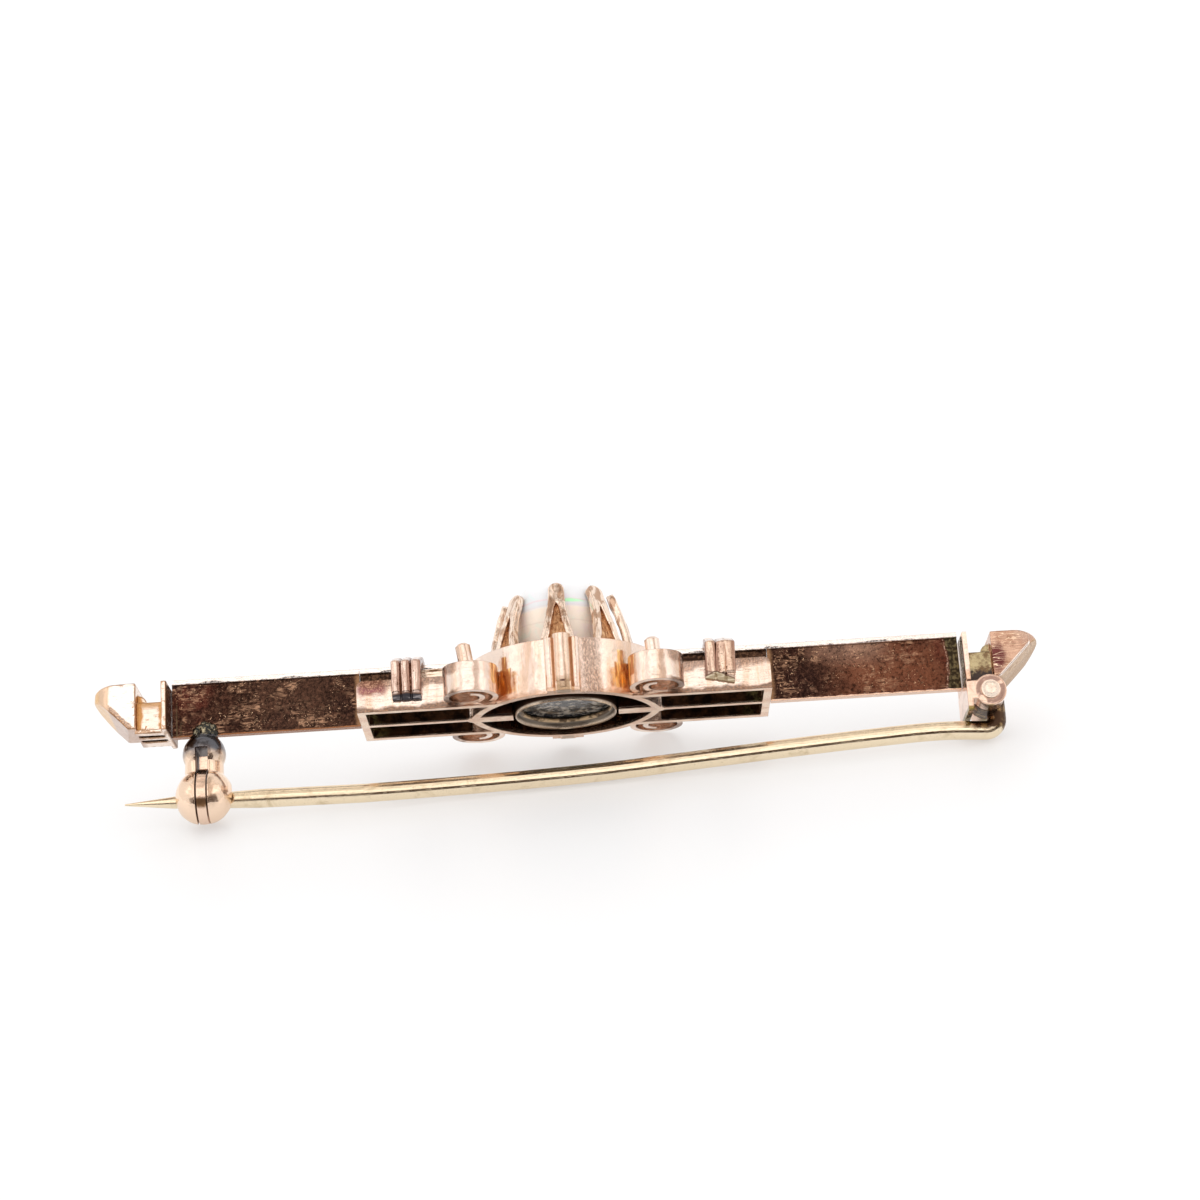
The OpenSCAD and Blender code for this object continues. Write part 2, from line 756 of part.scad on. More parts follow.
module pin_stem() {
    color("gold") at_rest() difference() {
        union() {
            rivet_round(-eye_knuckle_hw, eye_knuckle_hw, knuckle_r);
            sweep_wire(wire_course(), pin_r - wire_inset);
            rod();
        }
        rivet_round(-through / 2, through / 2, pin_bore_r);
    }
}

// A straight cut from the bore out of the back of the catch, which the pin leaves by
module mouth() {
    translate([-through / 2, bore_y - mouth_w / 2, bore_z - through]) cube([through, mouth_w, through]);
}

module along_bore(length, r) {
    translate([-catch_x - length / 2, bore_y, bore_z]) rotate([0, 90, 0]) cylinder(h = length, r = r);
}

// Slit in the ball and the bulb that the sleeve's disc and tab turn in
module slit() {
    translate([-catch_x - slot_w / 2, -through / 2, slit_top - through]) cube([slot_w, through, through]);
}

module catch_housing() {
    color("sandybrown") at_rest() difference() {
        translate([-catch_x, 0, 0]) {
            translate([0, 0, ball_z]) sphere(ball_r);
            translate([0, 0, bulb_z]) sphere(bulb_r);
            translate([0, 0, ball_z + waist_in]) cylinder(h = bulb_z - ball_z - waist_in, r = waist_r);
            translate([0, 0, bulb_z]) cylinder(h = foot_h - bulb_z, r = foot_r);
            for (lump = SOLDER) translate(lump[PLACE]) sphere(lump[SIZE]);
        }
        translate([-through / 2, -blade_t / 2 - seam, -seam]) cube([through, blade_t + 2 * seam, through]);
        slit();
        along_bore(through, sleeve_r + running_gap);
        mouth();
    }
}

module catch_sleeve() {
    color("sandybrown") at_rest() difference() {
        union() {
            along_bore(2 * (ball_r - tube_inset), sleeve_r);
            intersection() {
                translate([-catch_x, 0, ball_z]) sphere(ball_r - disc_recess);
                translate([-catch_x - disc_t / 2, -ball_r, ball_z - ball_r])
                    cube([disc_t, 2 * ball_r, 2 * ball_r]);
            }
            translate([-catch_x - disc_t / 2, bore_y - tab_y - tab_w, bore_z + tab_foot])
                cube([disc_t, tab_w, tab_h]);
        }
        along_bore(through, sleeve_bore_r);
        mouth();
    }
}

bar_left();
bar_right();
gallery_frame();
tie_left();
tie_right();
claw_setting();
opal();
terminal_left();
terminal_right();
hinge_bracket();
hinge_rivet();
pin_stem();
catch_housing();
catch_sleeve();
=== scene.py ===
"""Looks, lights and camera for the bar brooch. Sizes are in millimetres in the jewel's own frame,
X along the bar, Z to the front and the bar's back plane at z = 0, unless a name says otherwise."""
import math

import bpy
from mathutils import Matrix, Vector, noise


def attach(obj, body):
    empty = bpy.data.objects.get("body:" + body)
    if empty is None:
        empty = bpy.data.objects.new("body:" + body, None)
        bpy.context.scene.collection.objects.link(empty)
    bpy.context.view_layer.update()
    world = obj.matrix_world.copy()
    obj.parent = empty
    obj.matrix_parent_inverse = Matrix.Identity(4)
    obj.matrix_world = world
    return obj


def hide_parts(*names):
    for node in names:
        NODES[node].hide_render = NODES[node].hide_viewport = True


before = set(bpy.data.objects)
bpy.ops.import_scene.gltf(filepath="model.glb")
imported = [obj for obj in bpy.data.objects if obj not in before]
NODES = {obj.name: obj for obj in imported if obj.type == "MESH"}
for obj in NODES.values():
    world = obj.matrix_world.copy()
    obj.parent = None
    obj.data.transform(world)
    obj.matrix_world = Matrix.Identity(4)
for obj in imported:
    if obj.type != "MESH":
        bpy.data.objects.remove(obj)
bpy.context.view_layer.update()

# Resting pose, as in the part's source
REST_ROLL, REST_PITCH = -40.36, 2.95
REST_SHIFT = (-0.26, -1.234, 3.3274)
MM = 0.001
TURNED = (Matrix.Rotation(math.radians(REST_ROLL), 4, "X")
          @ Matrix.Rotation(math.radians(REST_PITCH), 4, "Y"))
LAID = Matrix.Translation(Vector(REST_SHIFT) * MM) @ TURNED @ Matrix.Scale(MM, 4)

# Camera: its place, and its turns in degrees from looking square at the bar's long side
CAMERA_AT = (1.562, -139.163, -41.138)
CAMERA_PITCH, CAMERA_YAW, CAMERA_ROLL = 18.859, -0.266, 3.613
LENS, SENSOR = 80.85, 36.0

# Where the camera starts to see, in metres
CLIP_START = 0.01

COLLECTION = bpy.context.scene.collection


class Nodes:
    """A cleared node tree, and short names for the nodes that are added to it."""

    def __init__(self, tree):
        self.tree = tree
        tree.nodes.clear()

    def add(self, kind, **settings):
        """Adds a node and sets its properties."""
        node = self.tree.nodes.new(kind)
        for name, value in settings.items():
            setattr(node, name, value)
        return node

    def link(self, out, into):
        """Links an output to an input."""
        self.tree.links.new(out, into)

    def put(self, into, value):
        """Links a socket, or sets a number or a colour."""
        if isinstance(value, bpy.types.NodeSocket):
            self.link(value, into)
        elif isinstance(value, tuple) and len(value) == 3 and into.type == "RGBA":
            into.default_value = (*value, 1)
        else:
            into.default_value = value

    def math(self, operation, a, b=0.0):
        """An operation on one or two numbers or sockets."""
        node = self.add("ShaderNodeMath", operation=operation)
        self.put(node.inputs[0], a)
        self.put(node.inputs[1], b)
        return node.outputs[0]

    def times(self, first, *rest):
        """The product of masks or numbers, which is 1 where all the masks are 1."""
        for value in rest:
            first = self.math("MULTIPLY", first, value)
        return first

    def plus(self, first, *rest):
        """The sum of numbers or sockets."""
        for value in rest:
            first = self.math("ADD", first, value)
        return first

    def band(self, value, low, high, to_low=0.0, to_high=1.0):
        """Goes smoothly from to_low to to_high as value goes from low to high."""
        node = self.add("ShaderNodeMapRange", interpolation_type="SMOOTHSTEP")
        self.put(node.inputs[0], value)
        for i, v in enumerate((low, high, to_low, to_high)):
            node.inputs[i + 1].default_value = v
        return node.outputs[0]

    def mix(self, share, a, b):
        """Colour a where share is 0 and b where it is 1."""
        node = self.add("ShaderNodeMix", data_type="RGBA")
        self.put(node.inputs[0], share)
        self.put(node.inputs[6], a)
        self.put(node.inputs[7], b)
        return node.outputs[2]

    def noise(self, scale, detail=3.0, roughness=0.55, distortion=0.0, at=None):
        """A soft noise, at given coordinates or else at the finish's place."""
        node = self.add("ShaderNodeTexNoise")
        self.link(at or self.place, node.inputs["Vector"])
        node.inputs["Scale"].default_value = scale
        node.inputs["Detail"].default_value = detail
        node.inputs["Roughness"].default_value = roughness
        node.inputs["Distortion"].default_value = distortion
        return node.outputs[0]


class Finish(Nodes):
    """A material whose place is the jewel's frame in millimetres."""

    def __init__(self, name):
        self.material = bpy.data.materials.new(name)
        self.material.use_nodes = True
        super().__init__(self.material.node_tree)
        self.shader = self.add("ShaderNodeBsdfPrincipled")
        self.link(self.shader.outputs[0], self.add("ShaderNodeOutputMaterial").inputs[0])
        turn = self.add("ShaderNodeMapping", vector_type="TEXTURE")
        turn.inputs["Location"].default_value = LAID.translation
        turn.inputs["Rotation"].default_value = TURNED.to_euler("XYZ")
        turn.inputs["Scale"].default_value = (MM, MM, MM)
        self.link(self.add("ShaderNodeTexCoord").outputs["Object"], turn.inputs["Vector"])
        self.place = turn.outputs[0]

    def set(self, **values):
        """Sets inputs of the shader, with _ for a space in their names."""
        for name, value in values.items():
            self.put(self.shader.inputs[name.replace("_", " ")], value)

    def axes(self):
        """X, Y and Z of the place."""
        node = self.add("ShaderNodeSeparateXYZ")
        self.link(self.place, node.inputs[0])
        return node.outputs

    def vector(self, operation, a, b=(0, 0, 0)):
        """An operation on one or two vectors, which gives a vector, a length or a dot product."""
        node = self.add("ShaderNodeVectorMath", operation=operation)
        self.put(node.inputs[0], a)
        self.put(node.inputs[1], b)
        return node.outputs["Value"] if operation in ("LENGTH", "DOT_PRODUCT") else node.outputs[0]

    def away(self, centre, keep):
        """Distance from a centre, along the axes where keep is 1."""
        off = self.vector("SUBTRACT", self.place, centre)
        return self.vector("LENGTH", self.vector("MULTIPLY", off, keep))

    def stretched(self, scale, turn=(0, 0, 0)):
        """The place turned by degrees and then scaled along each axis."""
        node = self.add("ShaderNodeMapping")
        node.inputs["Rotation"].default_value = [math.radians(a) for a in turn]
        node.inputs["Scale"].default_value = scale
        self.link(self.place, node.inputs["Vector"])
        return node.outputs[0]

    def within(self, value, low, high, soft=0.04):
        """1 while value lies between low and high."""
        return self.times(self.band(value, low - soft, low + soft),
                          self.band(value, high - soft, high + soft, 1, 0))

    def ragged(self, value, reach, *grain):
        """A value with a noise of the given reach and grain added, for uneven borders."""
        return self.plus(value, self.times(self.noise(*grain), reach))

    def spots(self, low, high, *grain, at=None):
        """Rises from 0 to 1 as a noise goes from low to high. Its grain is its scale, detail and so on."""
        return self.band(self.noise(*grain, at=at), low, high)

    def blend(self, share, a, b):
        """Number a where share is 0 and b where it is 1."""
        node = self.add("ShaderNodeMix", data_type="FLOAT")
        self.put(node.inputs[0], share)
        self.put(node.inputs[2], a)
        self.put(node.inputs[3], b)
        return node.outputs[0]

    def blot(self, centre, size, edge, wobble, grain):
        """1 inside an uneven ellipsoid and 0 outside."""
        scaled = self.vector("DIVIDE", self.vector("SUBTRACT", self.place, centre), size)
        uneven = self.plus(self.times(self.noise(grain, 4), wobble * 2), -wobble)
        reach = self.plus(self.vector("LENGTH", scaled), uneven)
        return self.band(reach, 1 - edge, 1 + edge, 1, 0)

    def scratches(self, turn, length, width, keep, seed=0.0):
        """Thin lines along one direction: 1 on a line."""
        at = self.stretched((1 / length, 1 / width, 1 / width), turn)
        shifted = self.vector("ADD", at, (seed, seed * 1.7, -seed))
        off = self.math("ABSOLUTE", self.math("SUBTRACT", self.noise(1.0, 1.0, at=shifted), 0.5))
        return self.band(off, 0, keep, 1, 0)

    def crease(self, low, high):
        """1 in hollows and 0 on flat faces and ridges."""
        sharpness = self.add("ShaderNodeNewGeometry").outputs["Pointiness"]
        return self.band(self.band(sharpness, 0.53, 0.45), low, high)

    def ridge(self):
        """Near 1 on worn ridges and 0 on flat faces."""
        return self.band(self.add("ShaderNodeNewGeometry").outputs["Pointiness"], 0.508, 0.53)

    def outline(self, radius):
        """Near 1 within a radius of an edge of a sharp-edged piece."""
        bevel = self.add("ShaderNodeBevel", samples=6)
        bevel.inputs["Radius"].default_value = radius * MM
        flat = self.add("ShaderNodeNewGeometry").outputs["Normal"]
        return self.band(self.vector("DOT_PRODUCT", bevel.outputs[0], flat), 0.995, 0.93)

    def relief(self, height, depth, edge=0.0):
        """Bump by height in millimetres, on edges softened by a small radius."""
        bump = self.add("ShaderNodeBump")
        bump.inputs["Strength"].default_value = 1.0
        bump.inputs["Distance"].default_value = depth * MM
        self.put(bump.inputs["Height"], height)
        if edge:
            bevel = self.add("ShaderNodeBevel", samples=4)
            bevel.inputs["Radius"].default_value = edge * MM
            self.link(bevel.outputs[0], bump.inputs["Normal"])
        self.link(bump.outputs[0], self.shader.inputs["Normal"])


ROSE = (0.93, 0.78, 0.68)
ROSE_DARK = (0.40, 0.18, 0.09)
YELLOW = (0.90, 0.76, 0.55)
SLOT_SHADE = (0.016, 0.011, 0.009)
STEEL = (0.13, 0.13, 0.145)
PALE = (0.96, 0.88, 0.82)


class Gold(Finish):
    """Worn gold with mottled tarnish, fine scratches, shallow dents and softened edges."""

    def __init__(self, name, colour, dark=ROSE_DARK, rough=0.12, edge=0.0, tarnish=0.3, wave=1.0):
        super().__init__(name)
        self.edge = edge
        cloudy = self.spots(0.52, 0.75, 0.7, 5, 0.6, 0.5)
        specks = self.spots(0.6, 0.7, 8, 4, 0.7)
        stain = self.times(self.math("MAXIMUM", cloudy, self.times(specks, 0.5)), tarnish)
        self.colour = self.mix(stain, colour, dark)
        self.rough = self.ragged(self.blend(stain, rough, rough + 0.25), 0.08, 3, 3)
        lines = self.math("MAXIMUM", self.scratches((0, 35, 20), 2.2, 0.07, 0.008),
                          self.scratches((10, -50, 60), 1.6, 0.06, 0.006, 5.3))
        dents = self.ragged(self.times(self.noise(0.9, 2), wave), 0.1, 11, 4, 0.65)
        self.height = self.plus(dents, self.times(lines, -0.05))

    def patch(self, mask, colour, rough=None, share=1.0):
        """Lays a colour over the gold where mask is 1, with its roughness if given."""
        if share < 1:
            mask = self.times(mask, share)
        self.colour = self.mix(mask, self.colour, colour)
        if rough is not None:
            self.rough = self.blend(mask, self.rough, rough)

    def raise_by(self, height):
        """Adds to the height that the bump is made from."""
        self.height = self.plus(self.height, height)

    def done(self, depth):
        """The finished material, with its bump of the given depth in millimetres."""
        self.set(Base_Color=self.colour, Roughness=self.rough, Metallic=1.0)
        self.relief(self.height, depth, self.edge)
        return self.material


def cap_strip(f, mask):
    """The pale worn strip along the front edge, with a rough dark grey lower border in stretches."""
    z = f.axes()[2]
    f.patch(mask, PALE, 0.16)
    along = f.spots(0.48, 0.6, 0.5, 2, 0.5, at=f.stretched((1, 0, 0)))
    border = f.plus(f.times(f.noise(5, 5, 0.7), 0.16), f.times(along, 0.09))
    worn = f.band(f.math("SUBTRACT", z, border), 2.90, 2.86)
    crumbs = f.mix(f.spots(0.42, 0.58, 11, 3, 0.6), (0.09, 0.08, 0.085), (0.62, 0.57, 0.54))
    f.patch(f.times(mask, worn), crumbs, 0.35)


# Soft border where the cap strip starts
CAP_START = (2.93, 2.96)

# Long scratches of the bar: turn, length, width and seed
BAR_SCRATCHES = (((0, 25, 0), 2.2, 0.3, 0.0), ((0, -38, 15), 1.6, 0.25, 7.1),
                 ((0, 70, 5), 1.2, 0.4, 3.3), ((0, 6, 0), 2.4, 0.2, 9.7))


def bar_finish():
    """Dark glossy brown faces with grain, scratches, golden specks, a painted sheen and a painted
    highlight, and a thin bright back edge.
    """
    f = Gold("bar_gold", (0.033, 0.0145, 0.010), rough=0.16, edge=0.05, tarnish=0.0, wave=0.6)
    x, _, z = f.axes()
    either_x = f.math("ABSOLUTE", x)
    soft_x = f.ragged(x, 2.5, 0.35, 2)
    # Painted sheen: lighter in the middle of the left blade
    f.patch(f.within(soft_x, -15.4, -11.2, 1.6), (0.066, 0.034, 0.023), share=0.7)
    f.patch(f.band(soft_x, -17.4, -19.4), (0.052, 0.015, 0.011), share=0.5)
    f.patch(f.within(soft_x, 15.4, 21.6, 1.4), (0.19, 0.068, 0.036), share=0.9)
    # Painted highlight high on the middle of the right blade
    painted_highlight = f.times(f.within(soft_x, 15.2, 18.6, 1.2), f.band(z, 1.3, 2.8))
    f.patch(painted_highlight, (0.40, 0.25, 0.18), share=0.7)
    clouds = f.spots(0.46, 0.66, 0.4, 5, 0.6, 0.6, at=f.stretched((0.6, 1, 1)))
    f.patch(clouds, (0.020, 0.010, 0.009), share=0.5)
    rust = f.times(f.band(either_x, 17.8, 19.8), f.spots(0.46, 0.62, 0.8, 4, 0.6))
    f.patch(rust, (0.11, 0.028, 0.018), share=0.6)
    grain = f.noise(6, 5, 0.8, 0.4)
    f.patch(f.band(grain, 0.50, 0.60), (0.15, 0.072, 0.045), share=0.45)
    f.patch(f.band(grain, 0.50, 0.39), (0.010, 0.005, 0.004), share=0.75)
    lines = 0.0
    for turn, length, width, seed in BAR_SCRATCHES:
        lines = f.math("MAXIMUM", lines, f.scratches(turn, length, width, 0.035, seed))
    lines = f.times(lines, f.spots(0.46, 0.62, 2.4, 3), f.spots(0.36, 0.56, 0.35, 2))
    f.patch(lines, (0.50, 0.29, 0.18), share=0.7)
    specks = f.times(f.spots(0.63, 0.68, 11, 3, 0.6), f.spots(0.4, 0.6, 0.7, 3))
    f.patch(specks, (0.80, 0.52, 0.33), share=0.7)

    # Dull patch at the hinge's end, with a hollow border
    hollow = f.math("POWER", f.times(f.plus(z, -1.5), 0.42), 2.0)
    bent_x = f.plus(f.ragged(x, 0.25, 3, 2), f.times(hollow, 0.5))
    dull = f.mix(f.spots(0.45, 0.62, 5, 3), (0.030, 0.022, 0.013), (0.13, 0.105, 0.055))
    f.patch(f.band(bent_x, 20.84, 20.96), dull, 0.25)
    f.patch(f.times(f.within(bent_x, 20.78, 20.86, 0.03), f.spots(0.48, 0.56, 14, 2)), (0.40, 0.28, 0.22))

    # Solder seams at the box and at the catch's end
    f.patch(f.band(f.ragged(either_x, 0.25, 2, 2), 11.5, 11.22), (0.34, 0.19, 0.10), 0.3, share=0.75)
    upright = f.spots(0.5, 0.56, 1, 1, at=f.stretched((8, 0.1, 0.25)))
    f.patch(f.times(f.band(x, -20.6, -20.8), upright), (0.15, 0.11, 0.065))

    f.raise_by(f.times(grain, 0.25))
    f.raise_by(f.times(lines, -0.05))
    cap_strip(f, f.band(z, *CAP_START))
    back_edge = f.mix(f.band(x, -1, 1), (0.30, 0.13, 0.06), (0.84, 0.58, 0.44))
    f.patch(f.band(f.ragged(z, 0.12, 3, 3), 0.15, 0.11), back_edge, 0.2)
    return f.done(0.05)


# The box and the eye-shaped wall, as in the part's source
BOX_HW, BOX_H, BOX_T = 2.7, 1.75, 0.38
EYE_TIP, EYE_HW, EYE_T = 5.15, 4.2, 0.35


def eye_inside(f, slack):
    """1 inside the eye-shaped wall."""
    tip, half = EYE_TIP - 1.25 * EYE_T, EYE_HW - EYE_T
    r = (tip * tip + half * half) / (2 * half)
    masks = []
    for side in (-1, 1):
        off = f.away((0, side * (half - r), 0), (1, 1, 0))
        masks.append(f.band(off, r + slack + 0.02, r + slack - 0.02))
    return f.times(*masks)


# Painted reflections of the scrolls and pegs, as gold shapes on the eye's wall beside the scrolls: from x,
# to x, from z, to z
MIRRORED_STEPS = ((2.83, 3.43, 0.35, 1.75), (3.03, 3.30, 1.7, 2.45), (3.53, 3.83, 0.7, 2.0))

# Painted shade in the lines between the ribs of a pilaster: place and half width
RIB_LINES = ((-0.48, 0.05), (0.47, 0.09))


def gallery_finish():
    """Bright walls with painted reflections and shading, painted shade in the dark channels of the box and
    round the collet, and stains where the photo shows them.
    """
    f = Gold("gallery_gold", ROSE, rough=0.05, edge=0.05, tarnish=0.12, wave=1.3)
    x, y, z = f.axes()
    long_way, wide = f.math("ABSOLUTE", x), f.math("ABSOLUTE", y)
    box_side = f.band(wide, BOX_HW - 0.04, BOX_HW)
    eye_side = f.band(wide, BOX_HW + 0.02, BOX_HW + 0.06)
    f.patch(f.outline(0.04), (0.54, 0.30, 0.15), 0.2, share=0.6)
    f.patch(f.spots(0.44, 0.62, 0.8, 4, 0.6, 0.5), (0.80, 0.54, 0.42), share=0.25)
    # Painted reflections: upright streaks on the walls' outer faces
    upright = f.spots(0.48, 0.6, 1, 4, 0.6, at=f.stretched((1.5, 1.5, 0.2)))
    f.patch(f.times(upright, box_side), (0.76, 0.48, 0.30), share=0.45)
    # Painted shading: the right part of the near eye wall deeper peach
    f.patch(f.times(f.within(x, 2.4, 3.9, 0.35), f.band(y, -2.7, -2.8)), (0.82, 0.58, 0.42), share=0.5)
    rim_gold = f.mix(f.spots(0.4, 0.6, 1.1, 3), (0.80, 0.51, 0.34), (0.94, 0.71, 0.52))
    f.patch(f.band(z, 0.03, 0.01), rim_gold, 0.14, share=0.85)

    # Painted shade in the channels of the box and in the ring round the collet, with painted glints near
    # the box's ends
    channel_shade_noise = f.noise(1.4, 5, 0.65)
    inner = BOX_HW - BOX_T
    channels = f.times(f.band(wide, inner + 0.04, inner), f.within(long_way, EYE_TIP, 10.58, 0.03),
                       f.band(z, 0.03, 0.12))
    f.patch(channels, f.mix(f.band(channel_shade_noise, 0.4, 0.65), (0.02, 0.011, 0.007), (0.10, 0.045, 0.022)), 0.35)
    glint = f.times(channels, f.band(long_way, 9.4, 10.6), f.spots(0.45, 0.65, 2, 3))
    f.patch(glint, (0.30, 0.25, 0.10), 0.3)
    ring = f.times(eye_inside(f, 0.05), f.band(z, 0.04, 0.2), f.band(z, 2.95, 2.9))
    f.patch(ring, f.mix(f.band(channel_shade_noise, 0.42, 0.62), (0.05, 0.021, 0.012), (0.20, 0.08, 0.04)), 0.3)

    # Bar inside the box, seen over the box's wall
    bar_part = f.times(f.band(long_way, 4.9, 5.0), f.band(wide, 0.5, 0.45))
    bar_side = f.times(bar_part, f.band(z, BOX_H, BOX_H + 0.1))
    darkened = f.mix(f.spots(0.45, 0.65, 5.5, 5, 0.75), (0.03, 0.015, 0.01), (0.16, 0.085, 0.05))
    f.patch(bar_side, darkened, 0.3)
    lined = f.spots(0.45, 0.55, 1, 3, at=f.stretched((0.8, 1, 9)))
    lined = f.mix(lined, (0.88, 0.72, 0.58), (0.42, 0.25, 0.14))
    f.patch(f.times(bar_side, f.within(x, -7.7, -5.0, 0.15)), lined, 0.15)
    cap_strip(f, f.times(bar_part, f.band(z, *CAP_START)))

    # Blotch at the catch's end of the near wall
    near_left = f.times(f.within(x, -10.9, -9.5, 0.25), f.band(y, -2.6, -2.65))
    blotch = f.times(near_left, f.band(f.ragged(z, 0.7, 2.2, 4), 1.1, 1.5))
    f.patch(blotch, (0.27, 0.12, 0.09), 0.16)
    border = f.times(near_left, f.within(f.ragged(z, 0.5, 2.2, 4), 1.35, 1.75, 0.15))
    f.patch(border, (0.30, 0.12, 0.13), 0.24)
    f.patch(f.times(blotch, f.spots(0.5, 0.62, 12, 4, 0.7)), (0.5, 0.28, 0.2), 0.3)

    # Darker along the foot of the box's walls, and painted shade along their top, where they roll over
    box_wall = f.times(f.band(wide, BOX_HW - 0.04, BOX_HW - 0.01), f.band(long_way, 5.3, 5.8))
    foot = f.mix(f.spots(0.45, 0.6, 10, 4, 0.7), (0.09, 0.04, 0.02), (0.30, 0.15, 0.08))
    f.patch(f.times(f.band(f.ragged(z, 0.9, 0.8, 3), 0.82, 0.62), box_wall), foot, 0.22, share=0.85)
    top = f.mix(f.spots(0.45, 0.6, 12, 4, 0.7), (0.15, 0.07, 0.04), (0.52, 0.30, 0.20))
    f.patch(f.times(box_wall, f.band(f.ragged(z, 0.9, 1.2, 4), 1.62, 1.9)), top, 0.2, share=0.7)
    rolled = f.math("POWER", f.math("MAXIMUM", f.plus(z, -1.2), 0.0), 2.0)
    f.raise_by(f.times(rolled, box_wall, f.band(z, 1.9, 1.8), -2.5))

    # Wall of the eye: its foot, and painted reflections of the shapes beside it
    eye_foot = f.times(eye_side, f.band(long_way, 3.6, 3.3), f.band(f.ragged(z, 0.5, 2.5, 4), 0.55, 0.36))
    f.patch(eye_foot, (0.55, 0.32, 0.20), 0.2, share=0.6)
    bent = f.ragged(long_way, 0.16, 2.2, 2)
    for low_x, high_x, low_z, high_z in MIRRORED_STEPS:
        shape = f.times(f.within(bent, low_x, high_x), f.within(z, low_z, high_z, 0.05), eye_side)
        streaks = f.spots(0.46, 0.6, 1.0, 3, at=f.stretched((5, 1, 0.6)))
        f.patch(shape, f.mix(streaks, (0.48, 0.19, 0.05), (0.96, 0.66, 0.30)), 0.08, share=0.92)

    # Pilaster: painted shade in the lines between its ribs and on the right side of its middle rib, and a
    # dim foot
    pilaster = f.times(f.band(long_way, 0.95, 0.9), f.band(wide, 4.0, 4.1))
    for groove_at, half in RIB_LINES:
        bent_x = f.plus(f.ragged(x, 0.05, 2.2, 3), -0.025)
        line = f.times(pilaster, f.within(bent_x, groove_at - half, groove_at + half, 0.05))
        f.patch(line, (0.52, 0.27, 0.12), 0.15, share=0.8)
    f.patch(f.times(pilaster, f.within(x, 0.05, 0.4, 0.12)), (0.80, 0.58, 0.42), share=0.6)
    bent_z = f.plus(f.ragged(z, 0.5, 2.2, 3), -0.25)
    dim_foot = f.times(pilaster, f.band(long_way, 0.4, 0.3), f.band(bent_z, 0.95, 0.55))
    f.patch(dim_foot, (0.34, 0.22, 0.12), 0.15, share=0.8)

    # Rough spot to the right of the pilaster, and a mark on its foot
    rough_spot = f.times(f.within(f.ragged(x, 0.5, 2.5, 3), 1.3, 2.2, 0.2), f.band(y, -3.2, -3.4))
    crumbs = f.noise(1, 4, 0.75, at=f.stretched((12, 12, 5)))
    crumbly = f.mix(f.band(crumbs, 0.42, 0.62), (0.40, 0.27, 0.21), (0.88, 0.68, 0.56))
    f.patch(rough_spot, crumbly, 0.25, share=0.8)
    f.raise_by(f.times(rough_spot, crumbs, 0.9))
    f.patch(f.blot((-0.03, -4.6, 0.53), (0.15, 0.3, 0.06), 0.4, 0.4, 6), (0.16, 0.09, 0.07), 0.4)
    return f.done(0.06)


# Ties: their middles, the height of their crown and how the right one leans
LEFT_TIE_X, RIGHT_TIE_X, TIE_CROWN, RIGHT_TIE_LEAN = -8.3, 8.4, 3.53, 0.04

# Ribs: places of their middles and half widths; the right tie's middle rib is worn into its outer one
LEFT_RIBS = ((-8.865, 0.24), (-8.335, 0.24), (-7.77, 0.27))
RIGHT_RIBS = ((7.87, 0.27), (8.7, 0.5))


def tie_finish(name, middle, ribs, colour, bevel, lip, groove, peak, slopes):
    """Ribs with painted shading, a light ridge and darker sides, and painted shade in their creases, over
    a bevel whose upper line peaks at a place.
    """
    f = Gold(name, colour, rough=0.07, tarnish=0.4)
    x, y, z = f.axes()
    # Painted shading across each rib: darker towards its sides
    sides = 1.0
    for place, half in ribs:
        off = f.math("ABSOLUTE", f.plus(x, 0.05 - place))
        sides = f.math("MINIMUM", sides, f.band(off, half * 0.45, half * 0.95))
    streaks = f.spots(0.44, 0.6, 1.4, 4, 0.6, 0.3, at=f.stretched((3.2, 1, 0.5)))
    f.patch(streaks, (0.42, 0.25, 0.19), 0.12, share=0.6)
    f.patch(sides, (0.34, 0.18, 0.13), 0.14, share=0.8)
    # Painted shade in the creases
    f.patch(f.crease(0.35, 0.7), groove, 0.3)
    f.patch(f.band(f.math("ABSOLUTE", f.plus(x, -middle)), 0.72, 0.8), (0.22, 0.11, 0.08), 0.2, share=0.7)
    leg = f.band(f.math("ABSOLUTE", y), 2.6, 2.7)
    past = f.plus(x, -peak[0])
    above = f.plus(z, -peak[1], f.times(f.math("MAXIMUM", past, 0.0), slopes[1]),
                   f.times(f.math("MINIMUM", past, 0.0), -slopes[0]))
    layers = f.spots(0.5, 0.7, 3, 3, at=f.stretched((0.5, 1, 3)))
    f.patch(f.times(leg, f.band(above, 0.02, -0.02)), f.mix(layers, bevel, lip), 0.14)
    f.patch(f.times(leg, f.within(above, -0.02, 0.04, 0.02)), (0.16, 0.08, 0.05), 0.2, share=0.8)
    return f.done(0.04)


def claw_finish():
    """Bright gold with brown streaks up each claw, and painted shade in its creases."""
    f = Gold("claw_gold", (0.98, 0.82, 0.69), rough=0.05, tarnish=0.25, wave=1.2)
    streaks = f.spots(0.46, 0.58, 1.2, 4, 0.6, 0.4, at=f.stretched((2.5, 2.5, 0.6)))
    f.patch(streaks, (0.44, 0.23, 0.12), 0.1, share=0.75)
    # Painted shade in the creases
    f.patch(f.crease(0.3, 0.75), (0.40, 0.17, 0.07), 0.2)
    return f.done(0.045)


def web_finish():
    """Brown gold with fine grooves up the fill between a claw's legs."""
    f = Gold("web_gold", (0.62, 0.35, 0.18), rough=0.2, tarnish=0.6)
    grooves = f.noise(1.0, 4, 0.65, at=f.stretched((9, 9, 0.8)))
    f.patch(f.band(grooves, 0.48, 0.62), (0.26, 0.10, 0.04), 0.3)
    f.patch(f.band(grooves, 0.44, 0.36), (0.80, 0.55, 0.33), 0.15)
    f.raise_by(grooves)
    return f.done(0.05)


